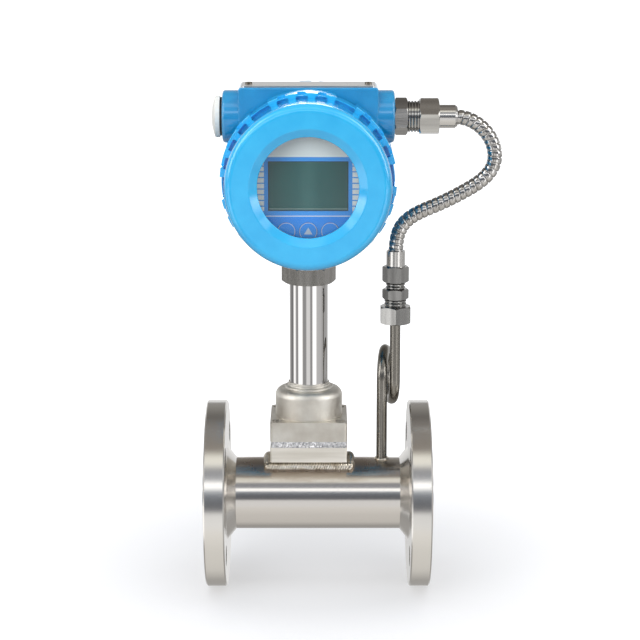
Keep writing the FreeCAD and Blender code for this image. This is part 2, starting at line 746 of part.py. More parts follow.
def entry_block():
    """The block over the barrel, with a round entry standing out at each end."""
    corners = [(STEM_X - BLOCK_WIDTH / 2, HEAD_Z), (STEM_X + BLOCK_WIDTH / 2, HEAD_Z),
               (STEM_X + BLOCK_WIDTH / 2, BLOCK_TOP_Z, BLOCK_EDGE),
               (STEM_X - BLOCK_WIDTH / 2, BLOCK_TOP_Z, BLOCK_EDGE)]
    face = Part.Face(rounded_wire(corners, lambda p: Vector(p.x, -HALF_BARREL, p.y)))
    body = face.extrude(ALONG_Y * BARREL_LENGTH)
    body = body.makeFillet(BLOCK_FACE_EDGE, face_edges(body, 1))
    entries = turned_x([
        (0, ENTRY_LEFT), (ENTRY_R, ENTRY_LEFT, ENTRY_EDGE), (ENTRY_R, ENTRY_RIGHT, ENTRY_EDGE),
        (0, ENTRY_RIGHT)], 0, ENTRY_Z)
    return body.fuse(entries)


def head_housing():
    """Cast two-compartment housing with a bulkhead, two entries and a neck."""
    neck = turned_z([(0, HEX_TOP), (NECK_SOCKET_OD / 2, HEX_TOP, NECK_SOCKET_EDGE),
                     (NECK_SOCKET_OD / 2, HEAD_Z - COMPARTMENT_OD / 2 - EPS),
                     (0, HEAD_Z - COMPARTMENT_OD / 2 - EPS)], STEM_X)
    housing = barrel().fuse([entry_block(), neck])
    housing = housing.cut(rod_y(COMPARTMENT_OD, -COLLAR_END - EPS, BULKHEAD_Y, STEM_X, HEAD_Z))
    housing = housing.cut(rod_y(COMPARTMENT_OD, BULKHEAD_Y + BULKHEAD, COLLAR_END + EPS,
                                STEM_X, HEAD_Z))
    housing = housing.cut(rod_x(ENTRY_BORE, ENTRY_LEFT - EPS, ENTRY_RIGHT + EPS, 0, ENTRY_Z))
    housing = housing.cut(rod_z(NIPPLE_OD + 2 * FIT, HEX_TOP - EPS, NIPPLE_TOP, STEM_X))
    housing = housing.cut(rod_z(FEED_HOLE, HEX_TOP, HEAD_Z - COMPARTMENT_OD / 4, STEM_X))
    housing = housing.cut(lock_screw(FIT))
    housing = housing.cut(rod_y(FEED_HOLE / 2, BULKHEAD_Y - EPS, BULKHEAD_Y + BULKHEAD + EPS,
                                STEM_X, HEAD_Z + TERMINAL_HEIGHT))
    for x in plate_screw_places():
        housing = housing.cut(rod_z(PLATE_SCREW_D + 2 * FIT, BLOCK_TOP_Z - PLATE_SCREW_REACH,
                                    BLOCK_TOP_Z + EPS, x))
    return housing.cut(earth_shank_outer(FIT)).cut(earth_shank_inner(FIT))


def lock_screw(clearance):
    """The headless screw that holds the head from turning on its nipple."""
    middle = (HEX_TOP + NIPPLE_TOP) / 2 - LOCK_SCREW_DROP
    return rod_y(LOCK_SCREW_D + 2 * clearance, NIPPLE_OD / 2 + FIT, NECK_SOCKET_OD / 2 - FIT,
                 STEM_X, middle)


def set_screw():
    """The lock screw, with its hexagon socket."""
    screw = lock_screw(0)
    socket = hexagon(LOCK_SCREW_D / 2, LOCK_SCREW_D, 0)
    socket.rotate(Vector(0, 0, 0), ALONG_X, -90)
    socket.translate(Vector(STEM_X, NECK_SOCKET_OD / 2 - LOCK_SCREW_D / 2, screw.BoundBox.Center.z))
    return screw.cut(socket)


def earth_outer_place():
    """Where the outer earth screw enters the barrel's waist, low on the outlet side."""
    angle = math.radians(EARTH_ANGLE)
    return Vector(math.cos(angle), 0, math.sin(angle))


def earth_shank_outer(clearance):
    """The outer earth screw's threaded part."""
    way = earth_outer_place()
    start = Vector(STEM_X, 0, HEAD_Z) + way * (BARREL_WAIST_OD / 2 - EARTH_REACH)
    return Part.makeCylinder(EARTH_SHANK_D / 2 + clearance, EARTH_REACH + EPS, start, way)


def ground_screw_outer():
    """Outer earth screw with its clamping washer."""
    way = earth_outer_place()
    centre = Vector(STEM_X, 0, HEAD_Z)
    seat = BARREL_WAIST_OD / 2 + FIT
    head_base = centre + way * (seat + EARTH_WASHER)
    washer = Part.makeCylinder(EARTH_WASHER_D / 2, EARTH_WASHER, centre + way * seat, way)
    head = Part.makeCylinder(EARTH_HEAD_D / 2, EARTH_HEAD, head_base, way)
    slot = block(around(0, 2 * EARTH_HEAD_D), around(0, EARTH_SLOT),
                 (EARTH_HEAD / 2, EARTH_HEAD + EPS))
    slot.Placement = FreeCAD.Placement(head_base, FreeCAD.Rotation(UP, way))
    return earth_shank_outer(0).fuse([washer, head]).cut(slot)


def earth_inner_centre():
    """Where the inner earth screw stands on the bulkhead."""
    return (STEM_X - COMPARTMENT_OD / 4, HEAD_Z - COMPARTMENT_OD / 4)


def earth_shank_inner(clearance):
    """The inner earth screw's threaded part in the bulkhead."""
    x, z = earth_inner_centre()
    wall = BULKHEAD_Y + BULKHEAD
    return rod_y(EARTH_SHANK_D + 2 * clearance, wall - EARTH_REACH, wall + EARTH_WASHER, x, z)


def ground_screw_inner():
    """Inner earth screw with its clamping washer."""
    x, z = earth_inner_centre()
    wall = BULKHEAD_Y + BULKHEAD
    seat = wall + EARTH_WASHER
    head = rod_y(EARTH_HEAD_D, seat, seat + EARTH_HEAD, x, z)
    washer = rod_y(EARTH_WASHER_D, wall, seat, x, z)
    slot = block(around(x, 2 * EARTH_HEAD_D), (seat + EARTH_HEAD / 2, seat + EARTH_HEAD + EPS),
                 around(z, EARTH_SLOT))
    return earth_shank_inner(0).fuse([washer, head]).cut(slot)


def radial_prism(outer_half, inner_half, outer_r, inner_r, start, end, angle):
    """A tapered bar along Y at an angle about the head's axis, clockwise from the top."""
    corners = [(-outer_half, outer_r), (outer_half, outer_r), (inner_half, inner_r),
               (-inner_half, inner_r)]
    points = [Vector(STEM_X + u, start, HEAD_Z + v) for u, v in corners]
    bar = Part.Face(Part.makePolygon(points + points[:1])).extrude(ALONG_Y * (end - start))
    return turned_about(bar, Vector(STEM_X, 0, HEAD_Z), ALONG_Y, angle)


def grip_land(start, end, angle):
    """The shallow recess between two groups of notches, as a piece of ring."""
    face = Part.Face(Part.makePolygon([
        Vector(STEM_X, y, HEAD_Z + r) for r, y in (
            (GRIP_OD / 2 - GRIP_LAND_DEPTH, start), (GRIP_OD / 2 + EPS, start),
            (GRIP_OD / 2 + EPS, end), (GRIP_OD / 2 - GRIP_LAND_DEPTH, end),
            (GRIP_OD / 2 - GRIP_LAND_DEPTH, start))]))
    ring = face.revolve(Vector(STEM_X, 0, HEAD_Z), ALONG_Y, GRIP_LAND_ANGLE)
    return turned_about(ring, Vector(STEM_X, 0, HEAD_Z), ALONG_Y, angle - GRIP_LAND_ANGLE / 2)


def castellated(cover, front, rear):
    """Cut the six-fold grip into a cover's ring: lands, notches, and a toothed groove."""
    groove_r = COVER_OD / 2 + GROOVE_WIDTH
    groove = turned_y([(COVER_OD / 2, front - EPS), (groove_r, front - EPS),
                       (groove_r, front + GROOVE_DEPTH), (COVER_OD / 2, front + GROOVE_DEPTH)],
                      STEM_X, HEAD_Z)
    cover = cover.cut(groove)
    cuts = []
    teeth = []
    for sector in range(GRIP_SECTORS):
        middle = GRIP_PHASE + sector * 360 / GRIP_SECTORS
        cuts.append(grip_land(front - EPS, rear + EPS, middle + 180 / GRIP_SECTORS))
        for step in NOTCH_STEPS:
            cuts.append(radial_prism(NOTCH_OUTER / 2, NOTCH_INNER / 2, GRIP_OD / 2 + EPS,
                                     GRIP_OD / 2 - NOTCH_DEPTH, front - EPS,
                                     front + NOTCH_LENGTH, middle + step * GRIP_PITCH))
        for step in TOOTH_STEPS:
            teeth.append(radial_prism(TOOTH_ROOT / 2, TOOTH_TIP / 2, groove_r + TOOTH_BITE,
                                      COVER_OD / 2 - TOOTH_BITE, front,
                                      front + GROOVE_DEPTH + TOOTH_BITE,
                                      middle + step * GRIP_PITCH))
    return cover.cut(cuts).multiFuse(teeth)


def seal_groove():
    """Room for the cover's seal at the mouth of its thread."""
    near = GRIP_BACK + 2 * SEAL_WIDTH
    bottom = COLLAR_OD / 2 + RUNNING + SEAL_BAND + RUNNING
    top = COLLAR_OD / 2
    return turned_y([(top, -near - RUNNING), (bottom, -near - RUNNING),
                     (bottom, -near + SEAL_WIDTH + RUNNING), (top, -near + SEAL_WIDTH + RUNNING)],
                    STEM_X, HEAD_Z)


def front_cover():
    """Domed front cover: toothed grip ring, skirt, bevelled window and a boss behind it."""
    thread_r = COLLAR_OD / 2 + RUNNING
    thread_end = COLLAR_END + 2 * COVER_GAP
    room_r = COVER_OD / 2 - COVER_WALL
    cover = turned_y([
        (APERTURE_D / 2, -LIP_BACK),
        (APERTURE_D / 2, -COVER_FRONT + BEVEL_DEPTH, BEVEL_INNER_EDGE),
        (BEVEL_OD / 2, -COVER_FRONT, BEVEL_OUTER_EDGE), (COVER_OD / 2, -COVER_FRONT, COVER_EDGE),
        (COVER_OD / 2, -GRIP_FRONT), (GRIP_OD / 2, -GRIP_FRONT, GRIP_EDGE),
        (GRIP_OD / 2, -GRIP_BACK, GRIP_EDGE), (thread_r, -GRIP_BACK), (thread_r, -thread_end),
        (room_r, -thread_end, COVER_INNER_EDGE), (room_r, -LIP_BACK, COVER_ROOM_R),
        (WINDOW_BOSS_OD / 2, -LIP_BACK, WINDOW_BOSS_EDGE),
        (WINDOW_BOSS_OD / 2, -RETAINER_BACK), (RETAINER_OD / 2 + FIT, -RETAINER_BACK),
        (RETAINER_OD / 2 + FIT, -GLASS_BACK), (GLASS_OD / 2 + FIT, -GLASS_BACK),
        (GLASS_OD / 2 + FIT, -LIP_BACK)], STEM_X, HEAD_Z)
    return castellated(cover, -GRIP_FRONT, -GRIP_BACK).cut(seal_groove())


def rear_cover():
    """Plain rear cover on the same grip ring, with a raised round pad."""
    thread_r = COLLAR_OD / 2 + RUNNING
    thread_end = COLLAR_END + 2 * COVER_GAP
    room_r = COVER_OD / 2 - COVER_WALL
    floor = COVER_REAR - REAR_PAD
    cover = turned_y([
        (0, -floor + COVER_WALL), (0, -COVER_REAR),
        (REAR_PAD_OD / 2, -COVER_REAR, REAR_PAD_EDGE),
        (REAR_PAD_OD / 2 + REAR_PAD_EDGE, -floor, REAR_PAD_EDGE),
        (COVER_OD / 2, -floor, COVER_EDGE),
        (COVER_OD / 2, -GRIP_FRONT), (GRIP_OD / 2, -GRIP_FRONT, GRIP_EDGE),
        (GRIP_OD / 2, -GRIP_BACK, GRIP_EDGE), (thread_r, -GRIP_BACK), (thread_r, -thread_end),
        (room_r, -thread_end), (room_r, -floor + COVER_WALL, COVER_INNER_EDGE)],
        STEM_X, HEAD_Z)
    cover = castellated(cover, -GRIP_FRONT, -GRIP_BACK).cut(seal_groove())
    return to_rear(cover)


def to_rear(shape):
    """Turn a front piece about the stem so that it faces the rear."""
    return turned_about(shape, Vector(STEM_X, 0, 0), UP, 180)


def cover_seal():
    """Square-section ring in the cover's mouth, round the collar."""
    near = GRIP_BACK + 2 * SEAL_WIDTH
    inner = COLLAR_OD / 2 + RUNNING
    outer = inner + SEAL_BAND
    return turned_y([(inner, -near), (outer, -near, SEAL_EDGE),
                     (outer, -near + SEAL_WIDTH, SEAL_EDGE), (inner, -near + SEAL_WIDTH)],
                    STEM_X, HEAD_Z)


def flat_ring_y(outer, inner, start, end):
    """A flat ring about the head's axis."""
    ring = rod_y(outer, start, end, STEM_X, HEAD_Z)
    return ring.cut(rod_y(inner, start - EPS, end + EPS, STEM_X, HEAD_Z))


def window_retainer():
    """Threaded ring that holds the glass, with two slots for its spanner."""
    ring = flat_ring_y(RETAINER_OD, RETAINER_BORE, -GLASS_BACK, -RETAINER_BACK)
    slot = block(around(STEM_X, RETAINER_OD + EPS),
                 (-RETAINER_BACK - SPANNER_SLOT_DEPTH, -RETAINER_BACK + EPS),
                 around(HEAD_Z, SPANNER_SLOT))
    return ring.cut(slot)


def key_places():
    """Middle of each key, left to right."""
    return [STEM_X + step * KEY_PITCH for step in (-1, 0, 1)]


def pillar_places(circle):
    """Four pillar middles on a circle."""
    places = []
    for i in range(4):
        angle = math.radians(90 * i + 45)
        places.append((STEM_X + circle / 2 * math.cos(angle),
                       HEAD_Z + circle / 2 * math.sin(angle)))
    return places


def face_panel():
    """Round front panel with the display's window and three key holes."""
    panel = rod_y(PANEL_OD, PANEL_Y, PANEL_BACK, STEM_X, HEAD_Z)
    panel = panel.cut(block(around(STEM_X, LCD_WIDTH), (PANEL_Y - EPS, PANEL_BACK + EPS),
                            around(LCD_Z, LCD_HEIGHT)))
    for x in key_places():
        panel = panel.cut(rod_y(KEY_D + 2 * RUNNING, PANEL_Y - EPS, PANEL_BACK + EPS, x, KEY_Z))
    for x, z in pillar_places(PANEL_POST_CIRCLE):
        post = rod_y(PILLAR_OD / 2, PANEL_BACK - FIT, DISPLAY_BOARD_Y, x, z)
        panel = panel.fuse(post)
    return panel


def lcd_module():
    """Display module: glass in its window on a wider body fixed to the board."""
    glass = block(around(STEM_X, LCD_WIDTH - 2 * FIT), (PANEL_Y + LCD_RECESS, PANEL_BACK),
                  around(LCD_Z, LCD_HEIGHT - 2 * FIT))
    body = block(around(STEM_X, LCD_WIDTH + 2 * LCD_BORDER), (PANEL_BACK, DISPLAY_BOARD_Y),
                 around(LCD_Z, LCD_HEIGHT + 2 * LCD_BORDER))
    return glass.fuse(body)


def key(x):
    """A round key: a cap through the panel, a rim behind it and a stem to its switch."""
    cap_front = PANEL_Y - KEY_PROUD
    stem_end = DISPLAY_BOARD_Y - SWITCH_HEIGHT - KEY_TRAVEL - RUNNING / 2
    return turned_y([
        (0, cap_front), (KEY_D / 2, cap_front, KEY_EDGE), (KEY_D / 2, PANEL_BACK + RUNNING / 2),
        (KEY_D / 2 + KEY_RIM, PANEL_BACK + RUNNING / 2),
        (KEY_D / 2 + KEY_RIM, PANEL_BACK + KEY_RIM), (KEY_STEM_D / 2, PANEL_BACK + KEY_RIM),
        (KEY_STEM_D / 2, stem_end), (0, stem_end)], x, KEY_Z)


def display_board():
    """Board behind the display, with a switch for each key."""
    board = rod_y(BOARD_OD, DISPLAY_BOARD_Y, DISPLAY_BOARD_Y + BOARD, STEM_X, HEAD_Z)
    for x, z in pillar_places(PILLAR_CIRCLE):
        board = board.cut(rod_y(PILLAR_OD / 2 + 2 * FIT, DISPLAY_BOARD_Y - EPS,
                                DISPLAY_BOARD_Y + BOARD + EPS, x, z))
    switches = [block(around(x, SWITCH_SIDE),
                      (DISPLAY_BOARD_Y - SWITCH_HEIGHT, DISPLAY_BOARD_Y),
                      around(KEY_Z, SWITCH_SIDE)) for x in key_places()]
    return board.fuse(switches)


def main_board():
    """Signal board near the bulkhead, with its larger components."""
    board = rod_y(BOARD_OD, MAIN_BOARD_Y, MAIN_BOARD_Y + BOARD, STEM_X, HEAD_Z)
    chips = [block(around(STEM_X + dx, width), (MAIN_BOARD_Y - CHIP_HEIGHT, MAIN_BOARD_Y),
                   around(HEAD_Z + dz, height)) for dx, dz, width, height in CHIPS]
    for x, z in pillar_places(PILLAR_CIRCLE):
        board = board.cut(rod_y(PILLAR_OD / 2 + 2 * FIT, MAIN_BOARD_Y - EPS,
                                MAIN_BOARD_Y + BOARD + EPS, x, z))
    return board.fuse(chips)


def board_pillars():
    """Spacers from the bulkhead to the first board and from there to the second."""
    stages = ((MAIN_BOARD_Y + BOARD, BULKHEAD_Y, -BOARD),
              (DISPLAY_BOARD_Y + BOARD, MAIN_BOARD_Y, -BOARD))
    pillars = []
    for start, end, stud in stages:
        for x, z in pillar_places(PILLAR_CIRCLE):
            spacer = rod_y(PILLAR_OD, start, end, x, z)
            pillars.append(spacer.fuse(rod_y(PILLAR_OD / 2, start + stud / 2, start, x, z)))
    return pillars


def board_screws():
    """Screws that hold the display board to its spacers."""
    front = DISPLAY_BOARD_Y
    screws = []
    for x, z in pillar_places(PILLAR_CIRCLE):
        head = rod_y(BOARD_SCREW_HEAD_D, front - BOARD_SCREW_HEAD, front, x, z)
        shank = rod_y(PILLAR_OD / 2, front, front + BOARD / 2, x, z)
        slot = block(around(x, BOARD_SCREW_HEAD_D + EPS),
                     (front - BOARD_SCREW_HEAD - EPS, front - BOARD_SCREW_HEAD / 2),
                     around(z, BOARD_SCREW_SLOT))
        screws.append(head.fuse(shank).cut(slot))
    return screws


def terminal_places():
    """Middle of each clamp on the terminal block."""
    first = STEM_X - TERMINAL_PITCH * (TERMINAL_COUNT - 1) / 2
    return [first + TERMINAL_PITCH * i for i in range(TERMINAL_COUNT)]


def terminal_block():
    """Moulded block on the bulkhead: a clamp well and a wire mouth for each terminal."""
    wall = BULKHEAD_Y + BULKHEAD
    low = terminal_base()
    body = block(around(STEM_X, TERMINAL_WIDTH), (wall, wall + TERMINAL_DEPTH),
                 (low, low + TERMINAL_HEIGHT))
    for x in terminal_places():
        body = body.cut(rod_y(TERMINAL_SCREW_D + 4 * FIT, wall + TERMINAL_DEPTH / 2,
                              wall + TERMINAL_DEPTH + EPS, x, low + TERMINAL_SCREW_RISE))
        body = body.cut(block(around(x, TERMINAL_SCREW_D),
                              (wall + TERMINAL_DEPTH - WIRE_MOUTH_DEPTH,
                               wall + TERMINAL_DEPTH + EPS),
                              (low - EPS, low + TERMINAL_HEIGHT / 3)))
    return body


def terminal_screws():
    """Clamp screws seated in the terminal block's wells."""
    seat = BULKHEAD_Y + BULKHEAD + TERMINAL_DEPTH / 2
    top = seat + TERMINAL_DEPTH / 3
    z = terminal_base() + TERMINAL_SCREW_RISE
    screws = []
    for x in terminal_places():
        screw = rod_y(TERMINAL_SCREW_D, seat, top, x, z)
        slot = block(around(x, TERMINAL_SCREW_D + EPS), (top - TERMINAL_SCREW_SLOT, top + EPS),
                     around(z, TERMINAL_SCREW_SLOT))
        screws.append(screw.cut(slot))
    return screws


def plate_screw_places():
    """Where the nameplate's two screws stand."""
    return around(STEM_X, PLATE_SCREW_SPAN)


def nameplate():
    """Thin bare plate on top of the housing."""
    plate = rounded_block(around(STEM_X, PLATE_LENGTH), around(0, PLATE_WIDTH),
                          (BLOCK_TOP_Z, BLOCK_TOP_Z + PLATE), PLATE_CORNER)
    for x in plate_screw_places():
        plate = plate.cut(rod_z(PLATE_SCREW_D + 2 * FIT, BLOCK_TOP_Z - EPS,
                                BLOCK_TOP_Z + PLATE + EPS, x))
    return plate


def nameplate_screws():
    """Two pan head screws with a cross slot."""
    seat = BLOCK_TOP_Z + PLATE
    screws = []
    for x in plate_screw_places():
        head = turned_z([(0, seat), (PLATE_SCREW_HEAD_D / 2, seat),
                         (PLATE_SCREW_HEAD_D / 2, seat + PLATE_SCREW_HEAD, PLATE_SCREW_EDGE),
                         (0, seat + PLATE_SCREW_HEAD)], x)
        shank = rod_z(PLATE_SCREW_D, BLOCK_TOP_Z - PLATE_SCREW_REACH, seat, x)
        depth = (seat + PLATE_SCREW_HEAD / 2, seat + PLATE_SCREW_HEAD + EPS)
        slots = [block(around(x, CROSS_SLOT_LENGTH), around(0, CROSS_SLOT), depth),
                 block(around(x, CROSS_SLOT), around(0, CROSS_SLOT_LENGTH), depth)]
        screws.append(head.fuse(shank).cut(slots))
    return screws


def blanking_plug():
    """Moulded plug: shallow domed head, flat rim and a threaded shank."""
    inner_face = ENTRY_LEFT - PLUG_GASKET
    rim = inner_face - PLUG_RIM
    crown = inner_face - PLUG_HEAD
    shank_r = ENTRY_BORE / 2 - RUNNING
    return turned_x([
        (0, crown), (PLUG_OD / 4, crown, PLUG_OD), (PLUG_OD / 2, rim, PLUG_EDGE),
        (PLUG_OD / 2, inner_face), (shank_r, inner_face),
        (shank_r, ENTRY_LEFT + PLUG_SHANK - PLUG_EDGE),
        (shank_r - PLUG_EDGE, ENTRY_LEFT + PLUG_SHANK),
        (0, ENTRY_LEFT + PLUG_SHANK)], 0, ENTRY_Z)


def plug_seal():
    """Flat rubber ring under the plug's head."""
    ring = rod_x(PLUG_GASKET_OD, ENTRY_LEFT - PLUG_GASKET, ENTRY_LEFT, 0, ENTRY_Z)
    return ring.cut(rod_x(ENTRY_BORE + 2 * FIT, ENTRY_LEFT - PLUG_GASKET - EPS,
                          ENTRY_LEFT + EPS, 0, ENTRY_Z))


def gland_body():
    """Gland adapter: spigot in the entry, hexagon, and a thread for the union nut."""
    nut_seat = GLAND_HEX_END + GLAND_THREAD
    body = hex_x(GLAND_HEX_AF, ENTRY_RIGHT, GLAND_HEX_END, ENTRY_Z)
    spigot = rod_x(ENTRY_BORE - 2 * FIT, ENTRY_RIGHT - GLAND_SPIGOT, ENTRY_RIGHT + EPS, 0, ENTRY_Z)
    thread = turned_x([(0, GLAND_HEX_END - EPS),
                       (GLAND_THREAD_D / 2 - THREAD_DEPTH, GLAND_HEX_END - EPS)]
                      + crest_points(GLAND_THREAD_D, GLAND_HEX_END, nut_seat)
                      + [(0, nut_seat)], 0, ENTRY_Z)
    body = body.fuse([spigot, thread])
    return body.cut(rod_x(HOSE_BORE, ENTRY_RIGHT - GLAND_SPIGOT - EPS, nut_seat + EPS, 0, ENTRY_Z))


def gland_nut():
    """Union nut that draws the conduit's sleeve onto the gland."""
    flange_face = GLAND_NUT_END - SLEEVE_TUCK / 2
    nut = hex_x(GLAND_NUT_AF, GLAND_NUT_START, GLAND_NUT_END, ENTRY_Z, GLAND_NUT_TURN)
    nut = nut.cut(rod_x(GLAND_THREAD_D + 2 * FIT, GLAND_NUT_START - EPS, flange_face, 0, ENTRY_Z))
    return nut.cut(rod_x(SLEEVE_OD + 2 * FIT, flange_face - EPS, GLAND_NUT_END + EPS, 0, ENTRY_Z))


def upper_ferrule():
    """Sleeve crimped on the conduit, flanged inside the union nut, with a flared mouth."""
    seat = GLAND_HEX_END + GLAND_THREAD
    flange_end = GLAND_NUT_END - SLEEVE_TUCK / 2
    stop = HOSE_ROUTE[0][0]
    hose_r = HOSE_D / 2 + FIT
    return turned_x([
        (HOSE_BORE / 2, seat), (GLAND_THREAD_D / 2, seat), (GLAND_THREAD_D / 2, flange_end),
        (SLEEVE_OD / 2, flange_end), (SLEEVE_OD / 2, SLEEVE_END - SLEEVE_CHAMFER),
        (SLEEVE_OD / 2 - SLEEVE_CHAMFER_RADIAL, SLEEVE_END),
        (hose_r + HOSE_MOUTH, SLEEVE_END), (hose_r, SLEEVE_END - 2 * HOSE_MOUTH), (hose_r, stop),
        (HOSE_BORE / 2, stop)], 0, ENTRY_Z)


def lower_ferrule():
    """Sleeve crimped on the conduit's lower end, held by the sensor's top nut."""
    stop = HOSE_ROUTE[-1][1]
    hose_r = HOSE_D / 2 + FIT
    return turned_z([
        (HOSE_BORE / 2, LOW_SLEEVE_BASE), (LOW_SLEEVE_OD / 2, LOW_SLEEVE_BASE),
        (LOW_SLEEVE_OD / 2, LOW_SLEEVE_TOP), (hose_r + HOSE_MOUTH / 2, LOW_SLEEVE_TOP),
        (hose_r, LOW_SLEEVE_TOP - HOSE_MOUTH), (hose_r, stop), (HOSE_BORE / 2, stop)], STACK_X)


def pressure_sensor_body():
    """Pressure sensor: hexagon between two threads, bored from below to its diaphragm."""
    lower = crest_points(LOWER_THREAD_D, SIPHON_TOP, BODY_HEX_BASE)
    upper = crest_points(UPPER_THREAD_D, BODY_HEX_TOP, LOW_SLEEVE_BASE)
    body = turned_z([(0, SIPHON_TOP)] + lower + upper + [(0, LOW_SLEEVE_BASE)], STACK_X)
    body = body.fuse(hex_z(BODY_HEX_AF, BODY_HEX_BASE, BODY_HEX_TOP, STACK_X, BODY_HEX_TURN))
    body = body.cut(rod_z(SENSOR_BORE, SIPHON_TOP - EPS, BODY_HEX_BASE, STACK_X))
    return body.cut(rod_z(SENSOR_BORE, BODY_HEX_TOP, LOW_SLEEVE_BASE + EPS, STACK_X))


def sensor_top_nut():
    """Union nut over the sensor's upper thread and the conduit's sleeve."""
    nut = hex_z(TOP_NUT_AF, TOP_NUT_BASE, TOP_NUT_TOP, STACK_X, TOP_NUT_TURN)
    return nut.cut(rod_z(UPPER_THREAD_D + 2 * FIT, TOP_NUT_BASE - EPS, TOP_NUT_TOP + EPS,
                         STACK_X))


def sensor_bottom_nut():
    """Union nut over the siphon's end and the sensor's lower thread."""
    nut = hex_z(LOW_NUT_AF, LOW_NUT_BASE, LOW_NUT_TOP, STACK_X, LOW_NUT_TURN)
    floor = LOW_NUT_BASE + LOW_NUT_FLOOR
    nut = nut.cut(rod_z(SIPHON_OD + 2 * FIT, LOW_NUT_BASE - EPS, floor + EPS, STACK_X))
    return nut.cut(rod_z(LOWER_THREAD_D + 2 * FIT, floor, LOW_NUT_TOP + EPS, STACK_X))


def half_turn(start, end, upward):
    """Half a turn of the siphon between two upright limbs, over or under."""
    middle = (start + end) / 2
    chord = end - start
    axis = chord.cross(UP)
    axis.normalize()
    rings = []
    for diameter in (SIPHON_OD, SIPHON_BORE):
        section = Part.Wire(Part.makeCircle(diameter / 2, start, UP))
        rings.append(Part.Face(section).revolve(middle, axis, 180 if upward else -180))
    return rings


def siphon_tube():
    """Tap tube: up from the pipe, one full turn edge-on to the front, up to the sensor."""
    shift = (STACK_X - TAP_X) / 2
    reach = math.sqrt((2 * LOOP_R) ** 2 - shift ** 2)
    first = Vector(TAP_X, 0, LOOP_Z)
    back = Vector(TAP_X + shift, reach, LOOP_Z)
    last = Vector(STACK_X, 0, LOOP_Z)
    outer = [rod_z(SIPHON_OD, 0, LOOP_Z, TAP_X), rod_z(SIPHON_OD, LOOP_Z, SIPHON_TOP, STACK_X)]
    inner = [rod_z(SIPHON_BORE, 0, LOOP_Z, TAP_X),
             rod_z(SIPHON_BORE, LOOP_Z, SIPHON_TOP, STACK_X)]
    for start, end, upward in ((first, back, False), (last, back, True)):
        skin, core = half_turn(start, end, upward)
        outer.append(skin)
        inner.append(core)
    pipe = rod_x(PIPE_OD, 0, FACE_TO_FACE)
    tube = outer[0].cut(pipe).multiFuse(outer[1:])
    return tube.cut(inner)


def siphon_weld():
    """Small fillet bead where the tap tube meets the pipe."""
    bead = Part.makeTorus(SIPHON_OD / 2 + TAP_WELD_R / 2, TAP_WELD_R,
                          Vector(TAP_X, 0, PIPE_R), UP)
    bead = bead.cut(rod_x(PIPE_OD, 0, FACE_TO_FACE))
    return bead.cut(rod_z(SIPHON_OD, 0, LOOP_Z, TAP_X))


def flex_conduit():
    """The flexible conduit's outer form along its route: straight runs and tangent arcs."""
    points = [Vector(x, 0, z) for x, z in HOSE_ROUTE]
    edges = []
    length = 0.0
    start = points[0]
    for i in range(1, len(points) - 1):
        here = points[i]
        back = points[i - 1] - here
        ahead = points[i + 1] - here
        half_turn_angle = (math.pi - back.getAngle(ahead)) / 2
        reach = ARC_SHARE * min(back.Length, ahead.Length)
        radius = reach / math.tan(half_turn_angle)
        back.normalize()
        ahead.normalize()
        inward = back + ahead
        inward.normalize()
        crest = here + inward * (radius / math.cos(half_turn_angle) - radius)
        arc_start = here + back * reach
        arc_end = here + ahead * reach
        edges.append(Part.LineSegment(start, arc_start).toShape())
        edges.append(Part.Arc(arc_start, crest, arc_end).toShape())
        length += (arc_start - start).Length + 2 * half_turn_angle * radius
        print("conduit arc", i, "radius", round(radius, 1))
        start = arc_end
    edges.append(Part.LineSegment(start, points[-1]).toShape())
    length += (points[-1] - start).Length
    section = Part.Wire(Part.makeCircle(HOSE_D / 2, points[0], points[1] - points[0]))
    hose = Part.Wire(edges).makePipeShell([section], True, False)
    expected = math.pi * HOSE_D ** 2 / 4 * length
    print("conduit length", round(length, 1), "volume ratio", round(hose.Volume / expected, 4))
    return hose


